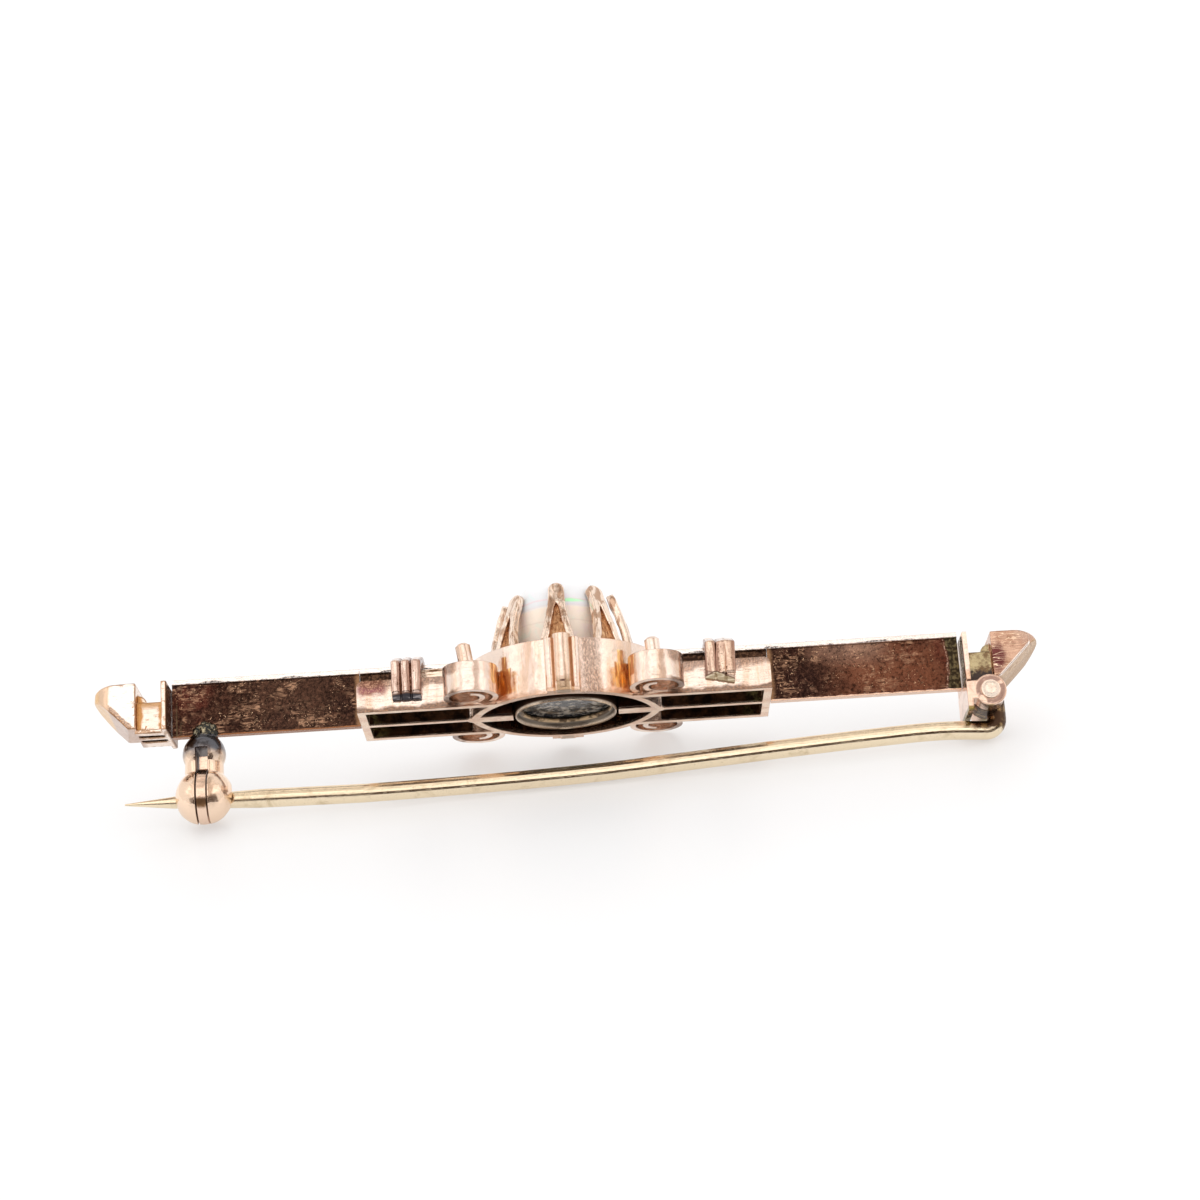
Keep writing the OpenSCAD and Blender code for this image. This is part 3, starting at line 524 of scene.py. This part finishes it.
def collet_finish():
    """Dull gold, with painted shade in the channel, and an uneven rim and ledge."""
    f = Gold("collet_gold", (0.60, 0.50, 0.40), rough=0.2, tarnish=0.5)
    wide, z = f.away((0, 0, 0), (1, 1, 0)), f.axes()[2]
    f.patch(f.times(f.band(wide, 2.66, 2.60), f.band(z, 0.06, 0.2)), (0.20, 0.17, 0.14), 0.3)
    # Painted shade on the outer wall, in the channel round the collet
    outside = f.times(f.band(wide, 2.74, 2.78), f.band(z, 0.05, 0.15), f.band(z, 2.7, 2.6))
    f.patch(outside, (0.05, 0.025, 0.016), 0.35)
    rim_gold = f.mix(f.spots(0.44, 0.58, 0.7, 4, 0.6), (0.30, 0.20, 0.13), (0.70, 0.56, 0.42))
    f.patch(f.band(z, 0.06, 0.02), rim_gold, 0.2)
    ledge_gold = f.mix(f.spots(0.44, 0.56, 1.3, 4, 0.65), (0.13, 0.09, 0.06), (0.60, 0.44, 0.27))
    f.patch(f.times(f.band(wide, 2.52, 2.48), f.band(z, 0.8, 0.7)), ledge_gold, 0.3)
    return f.done(0.05)


# Soft borders of the ends: their near faces, and where their finials start
NEAR_FACE = (-1.24, -1.28)
LEFT_FINIAL, RIGHT_FINIAL = (-22.97, -23.0), (22.9, 22.95)

# The necks between flange and finial, from x to x
LEFT_NECK, RIGHT_NECK = (-22.93, -21.52), (21.66, 22.93)


def left_terminal_finish():
    """Whitish face with brown outlines, painted shade in the slots, the creases and on the flange's face
    towards the blade, a stained neck and a golden round end.
    """
    f = Gold("left_terminal_gold", (0.93, 0.77, 0.66), tarnish=0.2)
    x, y, z = f.axes()
    f.patch(f.times(f.band(x, *LEFT_FINIAL), f.band(y, *NEAR_FACE)), (1.0, 0.93, 0.87), 0.1, share=0.8)
    # Painted shade in the slots
    slots = f.times(f.within(y, -0.85, 0.5, 0.03), f.within(x, -22.86, -21.53, 0.02),
                    f.within(z, 0.05, 1.08, 0.02))
    f.patch(slots, SLOT_SHADE, 0.5)
    # Painted shade in the creases
    f.patch(f.crease(0.42, 0.7), (0.42, 0.20, 0.07), 0.25)
    f.patch(f.ridge(), (0.42, 0.24, 0.13), 0.2, share=0.85)
    # Painted shade on the flange's face towards the blade
    f.patch(f.band(x, -21.27, -21.24), (0.20, 0.10, 0.05), 0.25)
    neck = f.within(x, *LEFT_NECK, 0.02)
    f.patch(f.times(neck, f.band(z, 1.35, 1.7), f.band(y, -0.9, -0.94)), (0.5, 0.3, 0.16), 0.2)
    neck_sides = f.band(f.ragged(f.math("ABSOLUTE", f.plus(x, 22.2)), 0.5, 2.2, 4), 0.62, 0.8)
    f.patch(f.times(neck, neck_sides, f.band(z, 0.24, 0.3)), (0.5, 0.25, 0.09), 0.22)
    x_and_z = f.plus(x, z)
    lower = f.times(f.band(x, -22.98, -23.02), f.band(f.ragged(x_and_z, 0.5, 5, 4, 0.7), -22.35, -22.5),
                    f.band(y, -1.2, -1.25))
    crumbs = f.mix(f.spots(0.45, 0.58, 14, 3), (0.20, 0.09, 0.04), (0.6, 0.36, 0.2))
    f.patch(lower, crumbs, 0.25, share=0.8)
    slanted = f.times(f.band(y, -1.32, -1.22), f.band(x_and_z, -22.6, -22.9))
    f.patch(slanted, (0.55, 0.39, 0.31), 0.2, share=0.9)
    golden = f.mix(f.band(f.ragged(y, 0.4, 2, 3), -0.95, -0.55), (0.78, 0.56, 0.40), (0.76, 0.47, 0.21))
    f.patch(f.band(x, -24.3, -24.5), golden, 0.14)
    return f.done(0.05)


def right_terminal_finish():
    """Coppery scratched face with a painted highlight along its edge with the slanted facet, a brown
    slanted facet, an olive neck and a pink flange.
    """
    f = Gold("right_terminal_gold", (0.62, 0.39, 0.28), (0.36, 0.17, 0.09), rough=0.16, tarnish=0.7)
    x, y, z = f.axes()
    face = f.times(f.band(y, *NEAR_FACE), f.band(x, *RIGHT_FINIAL))
    f.patch(f.times(face, f.spots(0.42, 0.6, 1.0, 5, 0.65)), (0.30, 0.13, 0.07), 0.2, share=0.55)
    greyish = f.band(f.plus(f.times(z, 0.6), f.ragged(x, 1.4, 0.9, 3)), 26.3, 27.2)
    f.patch(f.times(face, greyish), (0.62, 0.47, 0.40), 0.16, share=0.6)
    purple = f.times(face, f.blot((23.25, -1.35, 1.35), (0.42, 0.4, 0.75), 0.4, 0.5, 3))
    f.patch(purple, (0.16, 0.05, 0.045), 0.25)
    lines = f.math("MAXIMUM", f.scratches((0, 50, 0), 2.6, 0.25, 0.014, 2.0),
                   f.scratches((0, -35, 0), 1.4, 0.25, 0.012, 4.0))
    f.patch(f.times(face, lines), (0.95, 0.72, 0.52), 0.2)
    f.patch(f.times(face, f.spots(0.62, 0.68, 12, 4, 0.7)), (0.9, 0.65, 0.45), 0.2)
    x_less_z = f.math("SUBTRACT", x, z)
    # Painted highlight along the face's edge with the slanted facet
    f.patch(f.times(face, f.band(x_less_z, 22.85, 22.93)), PALE, 0.15)
    slanted = f.times(f.band(x_less_z, 22.98, 23.02), f.band(y, -1.3, -1.2))
    f.patch(slanted, f.mix(f.spots(0.42, 0.6, 7, 4, 0.7), (0.40, 0.22, 0.10), (0.66, 0.45, 0.26)), 0.25)
    far_part = f.band(f.ragged(y, 1.2, 1.4, 3), 0.1, 0.9)
    f.patch(f.times(slanted, far_part), (0.42, 0.24, 0.10), 0.22, share=0.8)
    neck = f.within(x, *RIGHT_NECK, 0.02)
    f.patch(neck, f.mix(f.spots(0.42, 0.58, 1.6, 4, 0.6), (0.20, 0.13, 0.07), (0.46, 0.38, 0.22)), 0.2)
    f.patch(f.times(neck, f.band(f.ragged(z, 1.2, 5, 4, 0.7), 1.5, 1.2)), (0.07, 0.055, 0.05), 0.4)
    shaded = f.times(f.band(f.ragged(z, 1.0, 1.5, 3), 1.3, 0.7), 0.6)
    flange = f.band(x, RIGHT_NECK[0], RIGHT_NECK[0] - 0.03)
    f.patch(flange, f.mix(shaded, (0.92, 0.72, 0.6), (0.66, 0.36, 0.20)), 0.16)
    return f.done(0.05)


RIVET_AT = (22.6, 0, -0.6)


def hinge_finish():
    """Pink ears with a stained ring round the rivet, and painted shade in the gap between them."""
    f = Gold("hinge_gold", (0.92, 0.66, 0.52), (0.2, 0.09, 0.06), tarnish=0.35)
    away = f.away(RIVET_AT, (1, 0, 1))
    _, y, z = f.axes()
    ring = f.times(f.band(y, -1.78, -1.82), f.within(away, 0.52, 0.78, 0.05), f.spots(0.35, 0.5, 1.6, 3))
    f.patch(ring, (0.20, 0.11, 0.09), 0.16, share=0.8)
    # Painted shade in the gap between the ears, lower down
    f.patch(f.times(f.band(y, -0.9, -0.8), f.band(z, -1.3, -1.5)), (0.10, 0.065, 0.042), 0.35)
    f.patch(f.times(f.band(z, -1.35, -1.5), f.spots(0.4, 0.55, 2.5, 3)), (0.30, 0.22, 0.08), 0.25)
    return f.done(0.04)


def rivet_finish():
    """Pale gold, more dented and stained than the rest."""
    return Gold("rivet_gold", (0.88, 0.74, 0.62), edge=0.05, tarnish=0.8, wave=2.0).done(0.03)


def pin_finish():
    """Pitted yellow wire, with painted shade on its knuckle between the hinge's ears."""
    f = Gold("pin_gold", YELLOW, (0.42, 0.28, 0.13), rough=0.09, tarnish=0.5, wave=0.5)
    x, _, z = f.axes()
    f.patch(f.spots(0.62, 0.68, 16, 3, 0.7), (0.4, 0.28, 0.16), 0.3, share=0.6)
    # Painted shade on the knuckle, where it sits between the hinge's ears, with lighter spots
    darkened = f.times(f.band(x, 21.4, 21.9), f.band(f.ragged(z, 0.7, 4, 4, 0.7), -2.1, -1.85))
    f.patch(darkened, (0.085, 0.05, 0.032), 0.3)
    f.patch(f.times(darkened, f.spots(0.5, 0.62, 2.6, 4, 0.65)), (0.40, 0.27, 0.13), 0.22, share=0.7)
    return f.done(0.03)


# The slit through the ball and the bulb, from x to x
SLIT = (-19.84, -19.16)


def catch_finish():
    """Rose gold ball under a bulb that heat has turned steel grey, with crumbly solder at its foot and
    painted shade in the slit.
    """
    f = Gold("catch_gold", (0.92, 0.70, 0.53), rough=0.05, tarnish=0.12)
    x, _, z = f.axes()
    f.patch(f.band(f.ragged(z, 1.3, 1.3, 4), -1.1, 0.0), STEEL, 0.14)
    crumbs = f.mix(f.spots(0.48, 0.62, 5, 4, 0.7), (0.05, 0.052, 0.048), (0.55, 0.48, 0.32))
    f.patch(f.band(z, -0.08, 0.05), crumbs, 0.3)
    # Painted shade in the slit, darkest at its end nearest the bar
    slit = f.times(f.within(x, *SLIT, 0.015), f.band(z, -0.8, -0.86))
    f.patch(slit, f.mix(f.band(z, -1.75, -1.2), (0.16, 0.07, 0.035), (0.05, 0.02, 0.012)), 0.3)
    return f.done(0.025)


def sleeve_finish():
    """Rose gold, browner where the sleeve shows in the ball's slot."""
    f = Gold("sleeve_gold", (0.88, 0.65, 0.50), rough=0.14, edge=0.03, tarnish=0.6)
    f.patch(f.blot((-19.5, -1.5, -4.0), (0.4, 0.5, 0.3), 0.3, 0.6, 3), (0.26, 0.14, 0.07), 0.3)
    return f.done(0.03)


# Colours of the stone's lower body and of its dome
PEACH, MILK = (0.93, 0.79, 0.67), (0.76, 0.755, 0.765)

# Faint lines in the stone: from z, to z, softness, share and colour
STONE_LINES = ((5.46, 5.52, 0.05, 0.5, (0.80, 0.68, 0.66)), (5.78, 5.86, 0.05, 0.4, (0.88, 0.50, 0.52)),
               (4.6, 4.66, 0.04, 0.25, (0.6, 0.42, 0.34)))


def opal_finish():
    """Milky dome with faint colours, over a matte peach body and a dark glassy back."""
    f = Finish("opal_stone")
    z = f.axes()[2]
    wavy_z = f.ragged(z, 0.25, 0.5, 2)
    body = f.mix(f.band(wavy_z, 5.32, 5.5), PEACH, MILK)
    for low, high, soft, share, colour in STONE_LINES:
        body = f.mix(f.times(f.within(wavy_z, low, high, soft), share), body, colour)
    green = f.blot((0.6, -2.45, 5.62), (0.6, 0.7, 0.1), 0.5, 0.3, 2)
    body = f.mix(f.times(green, 0.75), body, (0.42, 1.0, 0.5))
    play = f.noise(0.9, 3, 0.6, 0.8)
    body = f.mix(f.times(f.band(play, 0.56, 0.66), 0.16), body, (0.45, 0.85, 0.75))
    body = f.mix(f.times(f.band(play, 0.44, 0.34), 0.16), body, (0.92, 0.62, 0.78))
    back = f.mix(f.spots(0.45, 0.62, 2.2, 4, 0.6), (0.03, 0.032, 0.036), (0.40, 0.36, 0.31))
    body = f.mix(f.band(z, 1.6, 0.9), body, back)
    below_dome = f.band(z, 1.6, 0.9, 0.35, 0.08)
    f.set(Base_Color=body, Roughness=f.blend(f.band(z, 5.2, 5.5), below_dome, 0.07))
    f.shader.inputs["Subsurface Weight"].default_value = 0.35
    f.shader.inputs["Subsurface Radius"].default_value = (0.9, 0.8, 0.7)
    f.shader.inputs["Subsurface Scale"].default_value = 0.0006
    f.relief(f.noise(1.2, 3), 0.04)
    return f.material


def dress(material, *names):
    """Gives carried-over nodes their material."""
    for name in names:
        mesh = NODES[name].data
        mesh.materials.clear()
        mesh.materials.append(material)


def smooth(mesh):
    """Shades all faces of a mesh smoothly."""
    for face in mesh.polygons:
        face.use_smooth = True


def shells(parts):
    """One mesh of several closed shells, each a list of corners and a list of faces."""
    corners, faces = [], []
    for points, loops in parts:
        first = len(corners)
        corners += [tuple(p) for p in points]
        faces += [tuple(first + k for k in loop) for loop in loops]
    mesh = bpy.data.meshes.new("shells")
    mesh.from_pydata(corners, [], faces)
    return mesh


def of_node(name):
    """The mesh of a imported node, turned back into the jewel's frame in millimetres."""
    mesh = NODES[name].data.copy()
    mesh.materials.clear()
    mesh.transform(LAID.inverted())
    return mesh


def worked(name, mesh, material, node, voxel, rounds, wobble, grain, lumps=lambda co: 0.0):
    """Melts closed shells into one skin of a voxel size, worn smooth in rounds and dented by a noise of
    a wobble and a grain and by lumps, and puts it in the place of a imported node."""
    piece = bpy.data.objects.new(name, mesh)
    COLLECTION.objects.link(piece)
    melt = piece.modifiers.new("melt", "REMESH")
    melt.mode = "VOXEL"
    melt.voxel_size = voxel
    melt.use_smooth_shade = True
    wear = piece.modifiers.new("wear", "SMOOTH")
    wear.factor = 0.5
    wear.iterations = rounds
    skin = bpy.data.meshes.new_from_object(piece.evaluated_get(bpy.context.evaluated_depsgraph_get()))
    piece.modifiers.clear()
    normals = [v.normal.copy() for v in skin.vertices]
    for v, normal in zip(skin.vertices, normals):
        v.co += normal * (wobble * noise.noise(v.co * grain) + lumps(v.co))
    skin.transform(LAID)
    piece.data = skin
    skin.materials.clear()
    skin.materials.append(material)
    smooth(skin)
    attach(piece, "root")
    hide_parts(node)


def loft(rings):
    """A closed shell through rings of equal length, with flat ends."""
    n = len(rings[0])
    points = [p for ring in rings for p in ring]
    faces = [(i * n + k, i * n + (k + 1) % n, (i + 1) * n + (k + 1) % n, (i + 1) * n + k)
             for i in range(len(rings) - 1) for k in range(n)]
    faces += [tuple(range(n - 1, -1, -1)), tuple((len(rings) - 1) * n + k for k in range(n))]
    return points, faces


# Claws: heights of the rim and the tips, and reach of the feet and the tips
RIM_TOP, CLAW_TOP, FOOT_R, TIP_R = 2.97, 6.45, 3.77, 2.75

# Their thickness, how deep they start in the rim, and how far they bow outwards
CLAW_T, CLAW_SUNK, CLAW_BOW = 0.38, 0.03, 0.1

# Angle of each claw, and how much lower and further out its tip is
CLAWS = ((-8, 0, 0), (43, 0.06, 0), (88, 0, 0), (134, 0.1, 0.04), (-172, 0.3, 0.2), (-142, 0.19, 0.04),
         (-92.5, 0, 0), (-49.5, 0.02, 0))

# Along a leg: share of the claw's length, and how far its outer and inner edges are from the middle
LEGS = ((0, 0.90, 0.58), (0.14, 0.75, 0.44), (0.3, 0.62, 0.32), (0.45, 0.53, 0.21), (0.58, 0.46, 0.11),
        (0.7, 0.42, -0.02))

# Round tip: share of the length where it starts, its rings, and rings in a quarter turn
TIP_START, TIP_RINGS, TIP_QUARTER = 0.68, 7, 6.3

# Webs: thickness, half width at the foot, and share of the claw's length and half width above it
WEB_T, WEB_FOOT, WEBS = 0.14, 0.8, ((0.14, 0.61), (0.3, 0.46), (0.7, 0.2))


def claw_shells():
    """Shells of the claws, two legs and a round head each, and of the webs between their legs."""
    half = CLAW_T / 2
    parts, webs = [], []
    for angle, lower, out in CLAWS:
        rise, reach = CLAW_TOP - lower - RIM_TOP, FOOT_R - TIP_R - out
        length = math.hypot(rise, reach)
        stand = (Matrix.Rotation(math.radians(angle), 4, "Z") @ Matrix.Translation((FOOT_R, 0, RIM_TOP))
                 @ Matrix.Rotation(-math.atan2(reach, rise), 4, "Y"))

        def at(across, up, deep):
            """A corner on the bowed claw."""
            bow = CLAW_BOW * math.sin(math.pi * min(max(up / length, 0), 1))
            return stand @ Vector((deep + bow, across, up))

        def ring(a, b, up, front=half):
            """Four corners from a to b across the claw, from its side at the stone to a front."""
            return [at(a, up, -half), at(b, up, -half), at(b, up, front), at(a, up, front)]

        for side in (-1, 1):
            rings = [ring(side * LEGS[0][2], side * LEGS[0][1], -CLAW_SUNK)]
            rings += [ring(side * inner, side * outer, share * length) for share, outer, inner in LEGS]
            parts.append(loft(rings if side > 0 else [r[::-1] for r in rings]))
        head = LEGS[-1][1]
        rings = [ring(-head, head, TIP_START * length)]
        for k in range(TIP_RINGS):
            turn = math.pi / 2 * k / TIP_QUARTER
            w = head * math.cos(turn)
            rings.append(ring(-w, w, length - head + head * math.sin(turn)))
        parts.append(loft(rings))
        rings = [ring(-WEB_FOOT, WEB_FOOT, -CLAW_SUNK, WEB_T - half)]
        rings += [ring(-w, w, share * length, WEB_T - half) for share, w in WEBS]
        webs.append(loft(rings))
    return shells(parts), shells(webs)


# Outline of the collet, radius and height, and the steps of its turn
COLLET = ((2.72, 0.0), (2.81, 0.3), (2.81, 2.62), (3.79, 2.62), (3.79, 2.97), (2.56, 2.97), (2.56, 0.56),
          (2.36, 0.5), (2.38, 0.38), (2.56, 0.28), (2.58, 0.2), (2.66, 0.0))
COLLET_TURNS, COLLET_EDGE = 180, 0.04

# The ledge that the stone's back sits over: its outer radius, and how uneven its edge is
LEDGE_R, LEDGE_WAVE = 2.5, 0.16


def collet():
    """A ring turned from its outline, with an uneven inner edge of the ledge."""
    points, faces = [], []
    n = len(COLLET)
    for i in range(COLLET_TURNS):
        a = 2 * math.pi * i / COLLET_TURNS
        wave = LEDGE_WAVE * noise.noise(Vector((2 * math.cos(a), 2 * math.sin(a), 3.0)))
        for r, z in COLLET:
            if r <= LEDGE_R:
                r += wave
            points.append(LAID @ Vector((r * math.cos(a), r * math.sin(a), z)))
        j = (i + 1) % COLLET_TURNS
        faces += [(i * n + k, j * n + k, j * n + (k + 1) % n, i * n + (k + 1) % n) for k in range(n)]
    mesh = bpy.data.meshes.new("collet")
    mesh.from_pydata(points, [], faces)
    mesh.materials.append(collet_finish())
    smooth(mesh)
    piece = bpy.data.objects.new("collet", mesh)
    COLLECTION.objects.link(piece)
    edge = piece.modifiers.new("edge", "BEVEL")
    edge.width = COLLET_EDGE * MM
    edge.segments = 2
    edge.limit_method = "ANGLE"
    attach(piece, "root")
    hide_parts("claw_setting")


# Crown of a tie's rib, and the height where it fades into the bevel over a tenth of a millimetre
RIB_DOME, DOME_FROM, DOME_FADE = 0.08, 0.82, 0.1


def domed_ribs(co):
    """Rounds each rib of a tie across its width, down to its bevel."""
    left = co.x < 0
    upright = co.x if left else co.x - RIGHT_TIE_LEAN * (TIE_CROWN - co.z)
    for middle, half in LEFT_RIBS if left else RIGHT_RIBS:
        off = (upright - middle) / half
        if abs(off) < 1:
            return RIB_DOME * (1 - off * off) * min(max((co.z - DOME_FROM) / DOME_FADE, 0), 1)
    return 0.0


# The right tie's middle rib: where its filled copy is pressed together, and how far it is moved over
WORN_FROM, WORN_TO, WORN_OVER = 8.42, 8.6, 0.2

# Slant of the right tie's foot, below a height
FOOT_TOP, FOOT_SLANT = 1.2, 0.17


def worn_right_tie():
    """The right tie with a slanted foot, and a pressed copy of it that fills the worn groove."""
    mesh = of_node("tie_right")
    copies = []
    for pressed in (False, True):
        points = [v.co.copy() for v in mesh.vertices]
        for p in points:
            if p.z < FOOT_TOP:
                p.z -= FOOT_SLANT * (p.x - RIGHT_TIE_X)
            if pressed:
                lean = RIGHT_TIE_LEAN * (TIE_CROWN - p.z)
                p.x = min(max(p.x - lean, WORN_FROM), WORN_TO) + lean + WORN_OVER
        copies.append((points, [tuple(face.vertices) for face in mesh.polygons]))
    return shells(copies)


# Lumps of solder: the height where they start, and the reach and grain of their noises
SOLDER_START, SOLDER_LUMPS = -0.1, ((0.16, 3.2), (0.08, 8))


def solder(co):
    """Lumps of solder at the foot of the catch."""
    if co.z < SOLDER_START:
        return 0.0
    return sum(reach * noise.noise(co * grain) for reach, grain in SOLDER_LUMPS)


# How much fuller the claws are than their shells, and how much thinner the right end, clear of the pin
CLAWS_FULLER, END_THINNER = 0.04, -0.02


dress(bar_finish(), "bar_left", "bar_right")
dress(gallery_finish(), "gallery_frame")
dress(rivet_finish(), "hinge_rivet")
dress(pin_finish(), "pin_stem")
dress(sleeve_finish(), "catch_sleeve")
dress(opal_finish(), "opal")
left_tie_gold = tie_finish("left_tie_gold", LEFT_TIE_X, LEFT_RIBS, (0.86, 0.68, 0.58),
                           bevel=(0.05, 0.045, 0.05), lip=(0.30, 0.27, 0.27), groove=(0.17, 0.08, 0.045),
                           peak=(-8.3, 0.82), slopes=(0.1, 0.1))
right_tie_gold = tie_finish("right_tie_gold", RIGHT_TIE_X, RIGHT_RIBS, (0.84, 0.64, 0.50),
                            bevel=(0.46, 0.36, 0.23), lip=(0.80, 0.68, 0.50), groove=(0.16, 0.08, 0.04),
                            peak=(8.13, 0.93), slopes=(0.25, 0.45))
claws, webs = claw_shells()
worked("tie_left_reeds", of_node("tie_left"), left_tie_gold, "tie_left",
       voxel=0.034, rounds=8, wobble=0.02, grain=2.0, lumps=domed_ribs)
worked("tie_right_reeds", worn_right_tie(), right_tie_gold, "tie_right",
       voxel=0.034, rounds=8, wobble=0.02, grain=2.0, lumps=domed_ribs)
worked("claws", claws, claw_finish(), "claw_setting",
       voxel=0.042, rounds=14, wobble=0.05, grain=1.5, lumps=lambda co: CLAWS_FULLER)
worked("claw_webs", webs, web_finish(), "claw_setting",
       voxel=0.05, rounds=2, wobble=0.04, grain=3.0)
collet()
worked("left_end", of_node("terminal_left"), left_terminal_finish(), "terminal_left",
       voxel=0.05, rounds=3, wobble=0.015, grain=1.2)
worked("right_end", of_node("terminal_right"), right_terminal_finish(), "terminal_right",
       voxel=0.05, rounds=3, wobble=0.01, grain=1.2, lumps=lambda co: END_THINNER)
worked("hinge_ears", of_node("hinge_bracket"), hinge_finish(), "hinge_bracket",
       voxel=0.04, rounds=3, wobble=0.01, grain=1.5)
worked("ball_catch", of_node("catch_housing"), catch_finish(), "catch_housing",
       voxel=0.045, rounds=3, wobble=0.012, grain=1.5, lumps=solder)

# Floor, in metres, of a paper that glows a little
FLOOR_REACH = 3.0
PAPER, PAPER_GLOW, PAPER_GLOW_SHARE = (0.345, 0.36, 0.375), (1.0, 0.95, 0.92, 1), 0.52
floor_mesh = bpy.data.meshes.new("floor")
corners = [(x * FLOOR_REACH, y * FLOOR_REACH, 0) for x, y in ((-1, -1), (1, -1), (1, 1), (-1, 1))]
floor_mesh.from_pydata(corners, [], [(0, 1, 2, 3)])
floor = bpy.data.objects.new("floor", floor_mesh)
COLLECTION.objects.link(floor)
paper = Finish("floor_white")
paper.set(Base_Color=PAPER, Roughness=0.35)
paper.shader.inputs["Emission Color"].default_value = PAPER_GLOW
paper.shader.inputs["Emission Strength"].default_value = PAPER_GLOW_SHARE
paper.shader.inputs["Specular IOR Level"].default_value = 0.3
floor_mesh.materials.append(paper.material)

# Soft light from behind and above, in metres and watts, that metal doesn't mirror
KEY_AT, KEY_SIZE, KEY_POWER = (0.0, 0.45, 0.40), (1.0, 0.6), 1.3
key = bpy.data.lights.new("key", "AREA")
key.shape = "RECTANGLE"
key.size, key.size_y = KEY_SIZE
key.energy = KEY_POWER
lamp = bpy.data.objects.new("key", key)
lamp.visible_glossy = False
lamp.location = KEY_AT
lamp.rotation_euler = (-Vector(KEY_AT)).to_track_quat("-Z", "Y").to_euler()
COLLECTION.objects.link(lamp)

# World: even white light on surfaces, and a studio of bright and dark parts for metal to mirror
EVEN = (1.3, 1.3, 1.29)
CEILING, CEILING_LIGHT = (0.40, 0.34, 0.30), (1.2, 1.12, 1.05)
SOFTBOX, HAZE = (1.6, 1.55, 1.51), (1.12, 1.02, 0.95)
SWEEP = (1.0, 0.97, 0.95)
FLAG, FLAG_SHARE = (0.42, 0.27, 0.19), 0.7
DARK = (0.07, 0.045, 0.035)

world = bpy.data.worlds.new("studio")
bpy.context.scene.world = world
world.use_nodes = True
sky = Nodes(world.node_tree)
way = sky.add("ShaderNodeTexCoord").outputs["Generated"]
parts = sky.add("ShaderNodeSeparateXYZ")
sky.link(way, parts.inputs[0])

# Parts of the studio by direction, where x points right, y to the back and z up
x, y, z = parts.outputs
drift = sky.noise(4.5, 3.0, 0.5, at=way)
ceiling = sky.mix(sky.band(drift, 0.44, 0.58), CEILING, CEILING_LIGHT)
behind = sky.times(sky.band(y, 0.0, 0.25), sky.band(z, 0.75, 0.9, 1, 0))
mirrored = sky.mix(behind, ceiling, SWEEP)
aside = sky.times(sky.band(sky.math("ABSOLUTE", x), 0.72, 0.85), sky.band(z, 0.55, 0.7, 1, 0))
mirrored = sky.mix(aside, mirrored, SWEEP)
front = sky.band(y, -0.1, 0.1, 1, 0)
high_front = sky.times(front, sky.band(z, 0.36, 0.5), sky.band(z, 0.9, 0.97, 1, 0))
mirrored = sky.mix(high_front, mirrored, sky.mix(sky.band(drift, 0.42, 0.56), HAZE, SOFTBOX))
right_flag = sky.times(sky.band(x, 0.24, 0.30), sky.band(x, 0.60, 0.70, 1, 0))
left_flag = sky.times(sky.band(x, -0.66, -0.60, 0, 0.6), sky.band(x, -0.54, -0.46, 1, 0))
flags = sky.times(sky.math("MAXIMUM", right_flag, left_flag), front, FLAG_SHARE)
mirrored = sky.mix(flags, mirrored, FLAG)
low_front = sky.times(sky.band(y, -0.66, -0.5, 1, 0), sky.band(z, 0.36, 0.44, 1, 0))
mirrored = sky.mix(low_front, mirrored, DARK)
is_mirror = sky.add("ShaderNodeLightPath").outputs["Is Glossy Ray"]
light = sky.add("ShaderNodeBackground")
sky.link(sky.mix(is_mirror, EVEN, mirrored), light.inputs["Color"])
sky.link(light.outputs[0], sky.add("ShaderNodeOutputWorld").inputs["Surface"])

# Camera
across = Matrix(((1, 0, 0), (0, 0, 1), (0, 1, 0)))
view = (Matrix.Rotation(math.radians(CAMERA_ROLL), 3, "Z")
        @ Matrix.Rotation(math.radians(CAMERA_PITCH), 3, "X")
        @ Matrix.Rotation(math.radians(CAMERA_YAW), 3, "Y") @ across)
axes = Matrix((view[0], view[1], -view[2])).transposed()
camera_data = bpy.data.cameras.new("camera")
camera_data.lens = LENS
camera_data.sensor_width = SENSOR
camera_data.clip_start = CLIP_START
camera = bpy.data.objects.new("camera", camera_data)
camera.matrix_world = Matrix.Translation(LAID @ Vector(CAMERA_AT)) @ (TURNED.to_3x3() @ axes).to_4x4()
COLLECTION.objects.link(camera)
bpy.context.scene.camera = camera
bpy.context.scene.view_settings.view_transform = "Standard"
